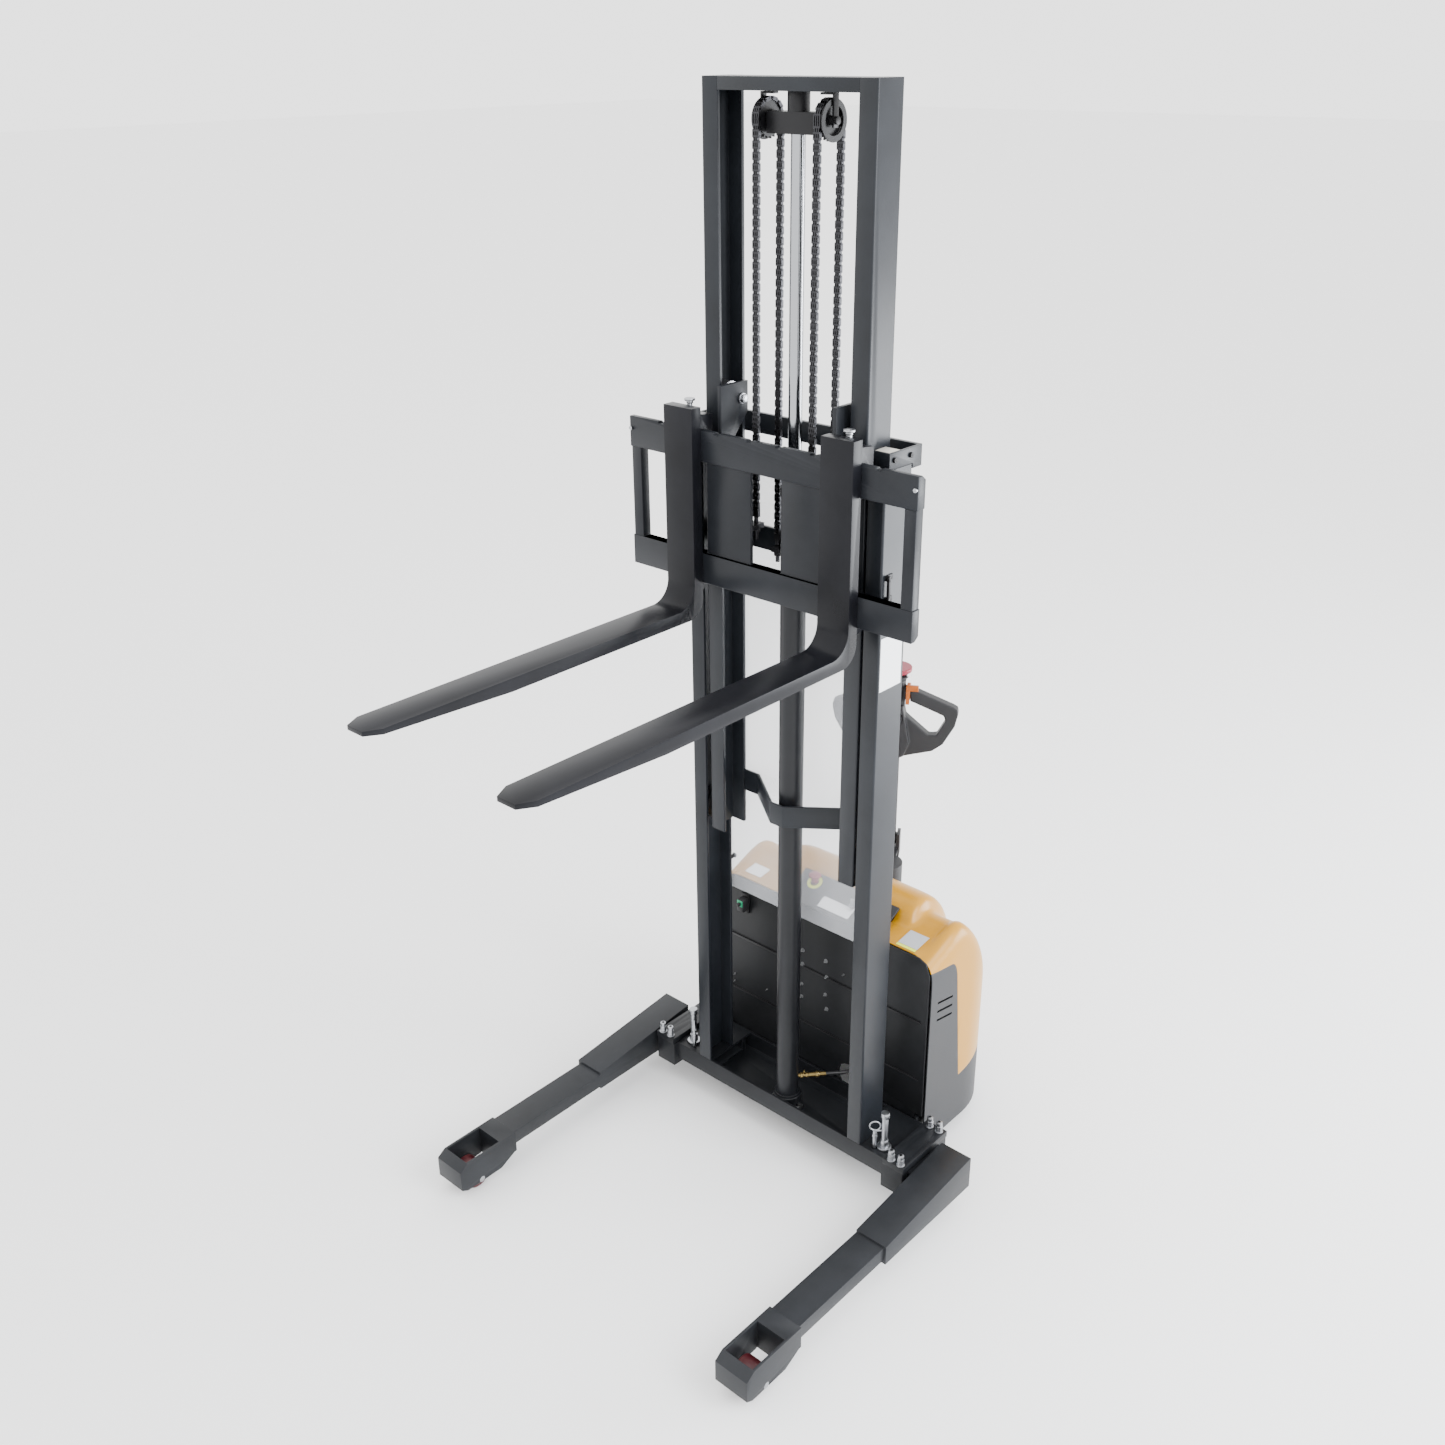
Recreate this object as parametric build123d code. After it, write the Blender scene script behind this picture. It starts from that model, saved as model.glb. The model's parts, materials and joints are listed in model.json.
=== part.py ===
"""Electric straddle stacker: a pedestrian truck with a two-stage mast, adjustable legs and hook-on forks.

Units are millimetres. +Z is up, the forks point along -Y and +X is the truck's left-hand rail seen
from behind. Lengths along Y are written from the front face of the mast; SHIFT_Y then centres the
whole truck over the origin, which lies on the floor. The mast is drawn part way up.
"""
import os
from math import atan2, cos, pi, radians, sin, tan

from build123d import *

# ---------------------------------------------------------------- overall driving dimensions
FORK_REACH = 1176.0          # fork tips in front of the mast face
REAR_REACH = 668.0           # rear of the hood behind the mast face
GRIP_REACH = 745.5           # rearmost point of the turned tiller head
SHIFT_Y = (FORK_REACH - GRIP_REACH) / 2
LEG_OUTER = 625.0            # half width over the legs
LEG_INNER = 521.0            # half width between the legs
LEG_REACH = 848.0            # front of the leg wheel housings

# ---------------------------------------------------------------- mast rails
OUTER_HALF = 330.0
OUTER_DEPTH = 112.0
OUTER_FLANGE = 50.0
OUTER_WEB = 8.0
OUTER_LIP = 9.0
OUTER_TOP = 2225.0
INNER_HALF = 267.0
INNER_FRONT = 6.0
INNER_DEPTH = 99.4
INNER_FLANGE = 52.0
INNER_WEB = 8.0
INNER_LIP = 10.0
INNER_TOP = 3098.0
INNER_LENGTH = 2069.0
INNER_BOTTOM = INNER_TOP - INNER_LENGTH
RAIL_MID = INNER_FRONT + INNER_DEPTH / 2
RAIL_CORNER = 6.0

# ---------------------------------------------------------------- base and leg sockets
BASE_HALF = 500.0
BASE_DEPTH = 205.0
BASE_Z0 = 95.0
BASE_Z1 = 158.0
BASE_WALL = 8.0
SOCKET_BACK = 168.0
SLIDE_GAP = 0.5              # clearance round the leg tongues
PAD_INNER = 425.0
PAD_DROP = 20.0
CLAMP_THICK = 20.0
CLAMP_FRONT = -20.0
STUD_R = 6.0
STUD_X = (451.0, 485.0)
STUD_Y = (-8.0, 188.0)
TRAY_HALF = 280.0
CHEEK_HALF = 392.0
CHEEK_T = 8.0
DECK_Z = 262.0
DECK_T = 8.0
PLATE_STEP = 172.0           # the front plate steps in below this height to let the cheeks pass
CASTER_CLEAR = 136.0         # lower edge of the cheeks beside the casters

# ---------------------------------------------------------------- legs and load wheels
LEG_TOP_REAR = 180.0
LEG_TOP_FRONT = 138.0
LEG_BOTTOM = 75.0
LEG_REAR = 151.0
LEG_STEP = -266.0
LEG_WALL = 6.0
THIN_OUTER = 616.0
THIN_TOP = 129.0
THIN_BOTTOM = 84.0
SHOE_REAR = -632.0
SHOE_OVER = 7.0
SHOE_TOP = 131.0
SHOE_LOW = 34.0
SHOE_PLATE = 8.0
LOAD_R = 40.0
LOAD_WIDTH = 70.0
LOAD_Y = -770.0
LOAD_AXLE_R = 10.0
LOAD_BORE_GAP = 0.05
TONGUE_INNER = 285.0
WIDEN = 80.0               # how far each leg pulls out
PIN_X = 390.0
PIN_Y = 40.0
PIN_R = 10.0
PIN_GAP = 1.0
PIN_LIFT = 60.0

# ---------------------------------------------------------------- lift cylinder, crosshead and chains
TUBE_R = 35.0
TUBE_WALL = 6.0
COLLAR_WALL = 9.0
TUBE_TOP = 2095.0
GLAND_TOP = 2118.0
ROD_R = 18.0
ROD_GAP = 0.06
ROD_BOTTOM = 1000.0
SPROCKET_Z = 3005.0
CHAIN_PITCH = 12.7
SPROCKET_TEETH = 22
PITCH_R = CHAIN_PITCH / (2 * sin(pi / SPROCKET_TEETH))
CHAIN_X = 93.0
CHAIN_WIDE = 20.0
CHAIN_THICK = 11.0
SPROCKET_WIDE = 9.0
BOX_HALF = 78.0
BOX_FRONT = 30.0
BOX_LOW = SPROCKET_Z - 32.0
BOX_HIGH = SPROCKET_Z + 17.0
SLEEVE_R = 27.0
BEAM_LOW = 3067.0
FIXED_ANCHOR_Z = 1960.0
MOVING_ANCHOR_Z = 2050.0
ANCHOR_BOLT_R = 6.0

# ---------------------------------------------------------------- mast ties and pads
BOX_PLATE = 6.0
TIE_BACK = 150.0
TIE_TOP = 2267.0
TIE_BAR_LOW = 2212.0
CROSS_LOW = 1900.0
CROSS_HIGH = 1965.0
CROSS_T = 12.0
STRAP_LOW = 1137.0
STRAP_HIGH = 1204.0
STRAP_T = 8.0
STRAP_KNEE = 160.0
STRAP_NOSE = 20.0
STRAP_FRONT = -2.0
PAD_GAP = 0.5

# ---------------------------------------------------------------- rollers
MAST_ROLLER_R = (OUTER_DEPTH - 2 * OUTER_LIP) / 2 - 0.4
MAST_ROLLER_Z = INNER_BOTTOM + 56.0
CAR_ROLLER_R = (INNER_DEPTH - 2 * INNER_LIP) / 2 - 0.4
CAR_ROLLER_HIGH = 2322.0
CAR_ROLLER_LOW = 1912.0
ROLLER_WIDE = 30.0
STUB_R = 15.0
STUB_GAP = 0.05

# ---------------------------------------------------------------- carriage and forks
BAR_FRONT = -71.0
BAR_T = 31.0
BAR_HALF = 476.0
BAR_HIGH = 83.0
TOP_BAR_TOP = 2255.0
LOW_BAR_LOW = 1838.0
POST_W = 34.0
PLATE_FRONT = -60.0
PLATE_T = 12.0
PLATE_INNER = 52.0
PLATE_OUTER = 205.0
SIDE_X = 183.0
SIDE_T = 12.0
SIDE_TOP = 2365.0
SIDE_BACK = 81.0
SIDE_RAISE = 25.0
FORK_W = 100.0
FORK_T = 35.0
FORK_X = 262.0
FORK_TOP = 1776.0
FORK_HEAD = 2316.0
FORK_HEEL = 62.0
FORK_TIP_T = 12.0
HOOK_GAP = 0.5
LATCH_R = 7.0

# ---------------------------------------------------------------- power unit
COVER_HALF = 412.0
COVER_FRONT = 217.0
COVER_LOW = 60.0
COVER_WALL = 4.0
COVER_CORNER = 233.0
HOOD_GAP = 1.0
PLATE_HALF = 404.0
FRONT_PLATE_T = 6.0
DASH_X0 = -150.0
DASH_X1 = 210.0
DASH_BACK = 332.0
STOP_X = -91.0
STOP_Y = 290.0
KEY_X = 78.0
KEY_Y = 262.0
HOSE_R = 6.0
HOSE_HOLE_X = 131.0
HOSE_HOLE_Z = 171.0
HOSE_HOLE_R = 56.0
HOSE_Z = 208.0
GUARD_FRONT = OUTER_DEPTH + CROSS_T
GUARD_T = 4.0
GUARD_LOW = 759.0
GUARD_HIGH = 2190.0
GUARD_HALF = 300.0

# ---------------------------------------------------------------- drive, casters and tiller
STEER_Y = 537.0
STEER_ANGLE = 30.0
DRIVE_R = 105.0
DRIVE_WIDE = 70.0
TURNTABLE_R = 78.0
WELL_R = 64.0
TOWER_R = 54.0
TOWER_TOP = 748.0
CASTER_X = 250.0
CASTER_Y = 500.0
CASTER_R = 62.5
CASTER_WIDE = 40.0
CASTER_TRAIL = 34.0
TILLER_Y = 110.0
TILLER_Z = 806.0
TILLER_PIN_R = 10.0
HEAD_LOW = 1093.0
GRIP_Z = 1330.0
GRIP_HALF = 197.0
BELLY_R = 47.0


# ---------------------------------------------------------------- helpers
def block(x0, x1, y0, y1, z0, z1):
    """Box between two corners."""
    return Pos((x0 + x1) / 2, (y0 + y1) / 2, (z0 + z1) / 2) * Box(abs(x1 - x0), abs(y1 - y0), abs(z1 - z0))


def rod_x(x0, x1, y, z, r):
    return Pos((x0 + x1) / 2, y, z) * Rot(0, 90, 0) * Cylinder(r, abs(x1 - x0))


def rod_y(x, y0, y1, z, r):
    return Pos(x, (y0 + y1) / 2, z) * Rot(90, 0, 0) * Cylinder(r, abs(y1 - y0))


def rod_z(x, y, z0, z1, r):
    return Pos(x, y, (z0 + z1) / 2) * Cylinder(r, abs(z1 - z0))


def slab_x(points, x0, x1):
    """Outline in Y and Z, extruded from x0 to x1."""
    face = make_face(Polyline([(0, y, z) for y, z in points], close=True))
    return Pos(x0, 0, 0) * extrude(face, amount=x1 - x0, dir=(1, 0, 0))


def slab_y(points, y0, y1):
    """Outline in X and Z, extruded from y0 to y1."""
    face = make_face(Polyline([(x, 0, z) for x, z in points], close=True))
    return Pos(0, y0, 0) * extrude(face, amount=y1 - y0, dir=(0, 1, 0))


def slab_z(points, z0, z1):
    """Outline in X and Y, extruded from z0 to z1."""
    face = make_face(Polyline([(x, y, 0) for x, y in points], close=True))
    return Pos(0, 0, z0) * extrude(face, amount=z1 - z0, dir=(0, 0, 1))


def other_side(shape):
    """The same shape on the other side of the truck."""
    return mirror(shape, Plane.YZ)


def hex_z(x, y, z0, z1, flats):
    return Pos(x, y, z0) * extrude(RegularPolygon(flats / 2, 6, major_radius=False), amount=z1 - z0)


def save(name, *shapes):
    """Move the shapes into the truck's frame and write them as one node."""
    solids = []
    for shape in shapes:
        solids.extend((Pos(0, SHIFT_Y, 0) * shape).solids())
    node = solids[0] if len(solids) == 1 else Compound(children=solids)
    export_step(node, "parts/" + name + ".step")


def rail(half, front, depth, flange, web, lip, z0, z1):
    """A channel rail that opens towards the middle of the truck, with rounded outer corners."""
    inner = half - flange
    section = Pos(half - flange / 2, front + depth / 2) * Rectangle(flange, depth)
    outer_corners = section.vertices().filter_by(lambda v: v.X > half - flange / 2)
    section = fillet(outer_corners, RAIL_CORNER)
    mouth = Pos(inner + (flange - web) / 2, front + depth / 2) * Rectangle(flange - web, depth - 2 * lip)
    return Pos(0, 0, z0) * extrude(section - mouth, amount=z1 - z0)


# ---------------------------------------------------------------- base, rails and mast ties
def base_frame():
    tube = block(-BASE_HALF, BASE_HALF, 0, BASE_DEPTH, BASE_Z0, BASE_Z1)
    socket = block(-BASE_HALF, BASE_HALF, BASE_WALL, SOCKET_BACK, BASE_Z0 + BASE_WALL, BASE_Z1 - BASE_WALL)
    rear_hollow = block(-PAD_INNER, PAD_INNER, SOCKET_BACK + BASE_WALL, BASE_DEPTH - BASE_WALL,
                        BASE_Z0 + BASE_WALL, BASE_Z1 - BASE_WALL)
    tray = block(-TRAY_HALF, TRAY_HALF, BASE_WALL, BASE_DEPTH - BASE_WALL, BASE_Z0 + BASE_WALL, BASE_Z1)
    frame = tube - socket - rear_hollow - tray
    frame = frame - rod_z(0, RAIL_MID, BASE_Z0 + BASE_WALL, BASE_Z1 + 1, TUBE_R + COLLAR_WALL + SLIDE_GAP)
    pad = block(PAD_INNER, BASE_HALF, CLAMP_FRONT, BASE_DEPTH, BASE_Z0 - PAD_DROP, BASE_Z0)
    lug = block(PAD_INNER, BASE_HALF, CLAMP_FRONT, 0, BASE_Z0, BASE_Z1)
    riser_y = COVER_FRONT + 2
    top = DECK_Z + DECK_T
    side = [(BASE_DEPTH, BASE_Z0), (BASE_DEPTH, PLATE_STEP - 6), (riser_y, PLATE_STEP - 6), (riser_y, top),
            (CASTER_Y + 10, top), (CASTER_Y + 10, CASTER_CLEAR), (CASTER_Y - 110, CASTER_CLEAR),
            (CASTER_Y - 130, BASE_Z0)]
    cheek = slab_x(side, CHEEK_HALF - CHEEK_T, CHEEK_HALF)
    for piece in (pad, lug, cheek):
        frame = frame + piece + other_side(piece)
    outline = [(-CHEEK_HALF, riser_y), (CHEEK_HALF, riser_y), (CHEEK_HALF, CASTER_Y + 10), (310, CASTER_Y + 90),
               (240, STEER_Y + 103), (-240, STEER_Y + 103), (-310, CASTER_Y + 90), (-CHEEK_HALF, CASTER_Y + 10)]
    deck = slab_z(outline, DECK_Z, top) - rod_z(0, STEER_Y, DECK_Z - 1, top + 1, TURNTABLE_R + 1)
    riser = block(-CHEEK_HALF, CHEEK_HALF, riser_y, riser_y + BASE_WALL, BASE_Z0, top)
    riser = riser - rod_y(HOSE_HOLE_X, riser_y - 1, riser_y + BASE_WALL + 1, HOSE_HOLE_Z, HOSE_HOLE_R)
    frame = frame + deck + riser
    for side in (-1, 1):
        hole = rod_z(side * PIN_X, PIN_Y, BASE_Z0 - PAD_DROP - 1, BASE_Z1 + 1, PIN_R + SLIDE_GAP)
        frame = frame - hole
        for x in STUD_X:
            for y in STUD_Y:
                frame = frame - rod_z(side * x, y, BASE_Z0 - PAD_DROP - 1, BASE_Z1 + 1, STUD_R)
        frame = frame - rod_z(side * CASTER_X, CASTER_Y, DECK_Z - 1, DECK_Z + DECK_T + 1, 10.0 + STUB_GAP)
    save("base_frame", frame)


def clamp_plates():
    plate = block(PAD_INNER + 3, BASE_HALF + 3, CLAMP_FRONT, BASE_DEPTH, BASE_Z1, BASE_Z1 + CLAMP_THICK)
    for x in STUD_X:
        for y in STUD_Y:
            plate = plate - rod_z(x, y, BASE_Z1 - 1, BASE_Z1 + CLAMP_THICK + 1, STUD_R)
    save("clamp_plates", plate, other_side(plate))


def chassis_bolts():
    """Clamp studs with their nuts, front plate screws and guard screws."""
    pieces = []
    top = BASE_Z1 + CLAMP_THICK
    for x in STUD_X:
        for y in STUD_Y:
            stud = rod_z(x, y, BASE_Z0 - PAD_DROP, top + 36, STUD_R)
            stud = stud + rod_z(x, y, top, top + 3, 12.5) + hex_z(x, y, top + 3, top + 14, 19)
            stud = stud + rod_z(x, y, top + 14, top + 36, 9.0) - rod_z(x, y, top + 26, top + 37, 4.5)
            pieces += [stud, other_side(stud)]
    for x, z in PLATE_SCREWS:
        face = COVER_FRONT - FRONT_PLATE_T
        screw = rod_y(x, face - 7, face, z, 7.0) - rod_y(x, face - 8, face - 4, z, 3.2)
        pieces.append(screw)
    for x in (-GUARD_HALF + 14, GUARD_HALF - 14):
        for z in GUARD_SCREW_Z:
            pieces.append(rod_y(x, GUARD_FRONT + GUARD_T, GUARD_FRONT + GUARD_T + 5, z, 8.0))
            pieces.append(rod_y(x, OUTER_DEPTH, GUARD_FRONT, z, 6.0))
    save("chassis_bolts", *pieces)


PLATE_SCREWS = ((-70, 573), (-70, 540), (20, 564), (20, 530), (20, 430), (20, 390))
GUARD_SCREW_Z = (869.0, 1400.0, 1840.0)


def outer_rails():
    side = rail(OUTER_HALF, 0, OUTER_DEPTH, OUTER_FLANGE, OUTER_WEB, OUTER_LIP, BASE_Z1, OUTER_TOP)
    save("outer_rails", side, other_side(side))


def outer_mast_tie():
    """Roller boxes on the rail tops joined by the rear bar, and the lower cross bar with the cylinder saddle."""
    near = INNER_HALF + 5
    box = block(near, OUTER_HALF, BOX_FRONT / 2, TIE_BACK, OUTER_TOP, TIE_TOP)
    hollow = block(near - 1, OUTER_HALF - BOX_PLATE, BOX_FRONT / 2 + BOX_PLATE, TIE_BACK - BOX_PLATE,
                   OUTER_TOP - 1, TIE_TOP + 1)
    box = box - hollow
    bar = block(-OUTER_HALF, OUTER_HALF, TIE_BACK - CROSS_T, TIE_BACK, TIE_BAR_LOW, TIE_TOP)
    web = block(OUTER_HALF - CROSS_T, OUTER_HALF, OUTER_DEPTH, TIE_BACK, TIE_BAR_LOW, OUTER_TOP)
    upper = bar + box + other_side(box) + web + other_side(web)
    cross = block(-OUTER_HALF, OUTER_HALF, OUTER_DEPTH, OUTER_DEPTH + CROSS_T, CROSS_LOW, CROSS_HIGH)
    saddle = block(-TUBE_R, TUBE_R, RAIL_MID + 10, OUTER_DEPTH, CROSS_LOW + 15, CROSS_HIGH - 15)
    saddle = saddle - rod_z(0, RAIL_MID, CROSS_LOW, CROSS_HIGH, TUBE_R)
    save("outer_mast_tie", upper, cross + saddle)


def guide_pads():
    near = INNER_HALF + PAD_GAP
    pad = block(near, OUTER_HALF - BOX_PLATE, 38, 82, OUTER_TOP, TIE_TOP - 5)
    save("guide_pads", pad, other_side(pad))


def chain_anchors():
    """Threaded anchor bolts of the fixed chain ends, in lugs on the cross bar."""
    y = RAIL_MID + PITCH_R
    lug = block(CHAIN_X - 14, CHAIN_X + 14, y - 12, OUTER_DEPTH, FIXED_ANCHOR_Z - 52, FIXED_ANCHOR_Z - 36)
    bolt = rod_z(CHAIN_X, y, FIXED_ANCHOR_Z - 80, FIXED_ANCHOR_Z - 16, ANCHOR_BOLT_R)
    head = block(CHAIN_X - 10, CHAIN_X + 10, y - 5, y + 5, FIXED_ANCHOR_Z - 22, FIXED_ANCHOR_Z)
    nut = hex_z(CHAIN_X, y, FIXED_ANCHOR_Z - 62, FIXED_ANCHOR_Z - 52, 19)
    one = lug + bolt + head + nut
    save("chain_anchors", one, other_side(one))


# ---------------------------------------------------------------- lift cylinder
def cylinder_tube():
    floor = BASE_Z0 + BASE_WALL
    tube = rod_z(0, RAIL_MID, floor, TUBE_TOP, TUBE_R)
    tube = tube - rod_z(0, RAIL_MID, floor + 14, TUBE_TOP + 1, TUBE_R - TUBE_WALL)
    save("cylinder_tube", tube)


def cylinder_fittings():
    """Gland nut on the tube, the collar that holds its foot and the hose elbow."""
    gland = rod_z(0, RAIL_MID, TUBE_TOP, GLAND_TOP, TUBE_R + 3)
    gland = gland - rod_z(0, RAIL_MID, TUBE_TOP - 1, GLAND_TOP + 1, ROD_R + ROD_GAP)
    collar_low = BASE_Z0 + BASE_WALL
    collar = rod_z(0, RAIL_MID, collar_low, collar_low + 50, TUBE_R + COLLAR_WALL)
    collar = collar + block(-TUBE_R - 20, TUBE_R + 20, RAIL_MID - 14, RAIL_MID + 14, collar_low, collar_low + 16)
    collar = collar - rod_z(0, RAIL_MID, collar_low - 1, collar_low + 51, TUBE_R)
    screw = rod_z(-TUBE_R - 14, RAIL_MID, collar_low + 16, collar_low + 24, 7.0)
    save("cylinder_fittings", gland, collar, screw, other_side(screw), hose_fitting())


FITTING_ANGLE = radians(48)
FITTING_OUT = 68.0


def fitting_point(radius):
    return (radius * cos(FITTING_ANGLE), RAIL_MID + radius * sin(FITTING_ANGLE), HOSE_Z)


def fitting_rod(r0, r1, radius):
    """Round length of the fitting, square to the tube's wall."""
    turn = FITTING_ANGLE * 180 / pi
    return Pos(0, RAIL_MID, HOSE_Z) * Rot(0, 0, turn) * rod_x(r0, r1, 0, 0, radius)


def hose_fitting():
    """Elbow screwed into the foot of the tube, with its bleed screw."""
    turn = FITTING_ANGLE * 180 / pi
    body = fitting_rod(TUBE_R - 2, TUBE_R + FITTING_OUT, 6.5) + fitting_rod(TUBE_R + 22, TUBE_R + 40, 10.0)
    body = body + fitting_rod(TUBE_R + 50, TUBE_R + FITTING_OUT, 9.0)
    tube = rod_z(0, RAIL_MID, HOSE_Z - 40, HOSE_Z + 40, TUBE_R)
    bleed = Pos(0, RAIL_MID, HOSE_Z) * Rot(0, 0, turn) * rod_z(TUBE_R + 31, 0, 8, 18, 4.0)
    return body - tube + bleed


def hose_route():
    """Points of the pressure hose, from the fitting through the front plate to the pump."""
    start = fitting_point(TUBE_R + FITTING_OUT)
    run_on = fitting_point(TUBE_R + FITTING_OUT + 42)
    return [start, run_on, (HOSE_HOLE_X - 3, COVER_FRONT - 5, HOSE_Z - 8), (HOSE_HOLE_X, PUMP_FRONT - 1, HOSE_Z - 8)]


PUMP_FRONT = 262.0


def hydraulic_hose():
    points = [Vector(*p) for p in hose_route()]
    radii = []
    for before, here, after in zip(points, points[1:], points[2:]):
        turn = (here - before).get_angle(after - here)
        run = min((here - before).length, (after - here).length)
        radii.append(0.45 * run / tan(radians(turn) / 2))
    print("hose radii", [round(r) for r in radii])
    path = FilletPolyline(*points, radius=radii)
    start = Plane(origin=points[0], z_dir=(points[1] - points[0]).normalized())
    save("hydraulic_hose", sweep(start * Circle(HOSE_R), path=path))


# ---------------------------------------------------------------- legs
def leg(side):
    rear = slab_x([(LEG_REAR, LEG_BOTTOM), (LEG_REAR, LEG_TOP_REAR), (LEG_STEP, LEG_TOP_FRONT),
                   (LEG_STEP, LEG_BOTTOM)], LEG_INNER, LEG_OUTER)
    hollow = slab_x([(LEG_REAR - LEG_WALL, LEG_BOTTOM + LEG_WALL), (LEG_REAR - LEG_WALL, LEG_TOP_REAR - 10),
                     (LEG_STEP + LEG_WALL, LEG_TOP_FRONT - LEG_WALL), (LEG_STEP + LEG_WALL, LEG_BOTTOM + LEG_WALL)],
                    LEG_INNER + LEG_WALL, LEG_OUTER - LEG_WALL)
    thin = block(LEG_INNER, THIN_OUTER, SHOE_REAR - 20, LEG_STEP + LEG_WALL, THIN_BOTTOM, THIN_TOP)
    thin = thin - block(LEG_INNER + LEG_WALL, THIN_OUTER - LEG_WALL, SHOE_REAR - 19, LEG_STEP + LEG_WALL + 1,
                        THIN_BOTTOM + LEG_WALL, THIN_TOP - LEG_WALL)
    body = rear - hollow + thin
    near = LEG_INNER - SHOE_OVER
    far = THIN_OUTER + SHOE_OVER
    front = -LEG_REACH
    outline = [(SHOE_REAR, SHOE_TOP), (front + 28, SHOE_TOP), (front, SHOE_TOP - 19), (front, SHOE_LOW + 12),
               (front + 22, SHOE_LOW), (LOAD_Y + 74, SHOE_LOW), (SHOE_REAR - 8, SHOE_LOW + 28), (SHOE_REAR, SHOE_LOW + 28)]
    shoe = slab_x(outline, near, far)
    room = block(near + SHOE_PLATE, far - SHOE_PLATE, front + SHOE_PLATE, LOAD_Y + 78, SHOE_LOW - 1, SHOE_TOP + 40)
    slope = slab_x([(front - 1, SHOE_TOP - 27), (front + 30, SHOE_TOP - 7), (front + 30, SHOE_TOP + 41),
                    (front - 1, SHOE_TOP + 41)], near + SHOE_PLATE, far - SHOE_PLATE)
    shoe = shoe - (room - slope)
    cavity = block(LEG_INNER + LEG_WALL, THIN_OUTER - LEG_WALL, LOAD_Y + 84, SHOE_REAR + 1,
                   THIN_BOTTOM + LEG_WALL, THIN_TOP - LEG_WALL)
    body = body + shoe - cavity
    body = body - rod_x(near - 1, far + 1, LOAD_Y, LOAD_R, LOAD_AXLE_R)
    tongue = block(TONGUE_INNER, LEG_INNER + LEG_WALL, BASE_WALL + SLIDE_GAP, SOCKET_BACK - SLIDE_GAP,
                   BASE_Z0 + BASE_WALL + SLIDE_GAP, BASE_Z1 - BASE_WALL - SLIDE_GAP)
    tongue = tongue - block(TONGUE_INNER - 1, LEG_INNER + LEG_WALL + 1, BASE_WALL + SLIDE_GAP + LEG_WALL,
                            SOCKET_BACK - SLIDE_GAP - LEG_WALL, BASE_Z0 + BASE_WALL + SLIDE_GAP + LEG_WALL,
                            BASE_Z1 - BASE_WALL - SLIDE_GAP - LEG_WALL)
    half = PIN_R + PIN_GAP
    slot = block(PIN_X - WIDEN, PIN_X, PIN_Y - half, PIN_Y + half, BASE_Z0, BASE_Z1)
    slot = slot + rod_z(PIN_X, PIN_Y, BASE_Z0, BASE_Z1, half) + rod_z(PIN_X - WIDEN, PIN_Y, BASE_Z0, BASE_Z1, half)
    body = body + tongue - slot
    axle = rod_x(near, far, LOAD_Y, LOAD_R, LOAD_AXLE_R)
    x0 = (near + far) / 2 - LOAD_WIDTH / 2
    wheel = rod_x(x0, x0 + LOAD_WIDTH, LOAD_Y, LOAD_R, LOAD_R)
    wheel = wheel - rod_x(x0 - 1, x0 + LOAD_WIDTH + 1, LOAD_Y, LOAD_R, LOAD_AXLE_R + LOAD_BORE_GAP)
    name = "right" if side > 0 else "left"
    for node, shape in (("leg_", body), ("load_axle_", axle), ("load_wheel_", wheel)):
        save(node + name, shape if side > 0 else other_side(shape))


def lock_pin(side):
    pin = rod_z(PIN_X, PIN_Y, BASE_Z0 - PAD_DROP - 4, BASE_Z1 + 128, PIN_R)
    pin = pin + rod_z(PIN_X, PIN_Y, BASE_Z1, BASE_Z1 + 8, 22.0) + rod_z(PIN_X, PIN_Y, BASE_Z1 + 8, BASE_Z1 + 30, 14.0)
    pin = pin + rod_z(PIN_X, PIN_Y, BASE_Z1 + 112, BASE_Z1 + 130, 13.0)
    clip = rod_z(PIN_X - 21, PIN_Y - 20, BASE_Z1 + 1, BASE_Z1 + 66, 6.5)
    eye = Pos(PIN_X - 21, PIN_Y - 20, BASE_Z1 + 82) * Rot(90, 0, 40) * Torus(16, 2.6)
    pin = pin + block(PIN_X - 24, PIN_X, PIN_Y - 22, PIN_Y, BASE_Z1 + 30, BASE_Z1 + 36) + clip + eye
    save("lock_pin_right" if side > 0 else "lock_pin_left", pin if side > 0 else other_side(pin))


# ---------------------------------------------------------------- inner mast
def inner_rails():
    side = rail(INNER_HALF, INNER_FRONT, INNER_DEPTH, INNER_FLANGE, INNER_WEB, INNER_LIP, INNER_BOTTOM, INNER_TOP)
    mid = OUTER_DEPTH / 2
    stub = rod_x(INNER_HALF - INNER_WEB, OUTER_HALF - OUTER_WEB - 3, mid, MAST_ROLLER_Z, STUB_R)
    collar = rod_x(INNER_HALF, OUTER_HALF - OUTER_FLANGE + 3, mid, MAST_ROLLER_Z, STUB_R + 6)
    side = side + stub + collar
    save("inner_rails", side, other_side(side))


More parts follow.
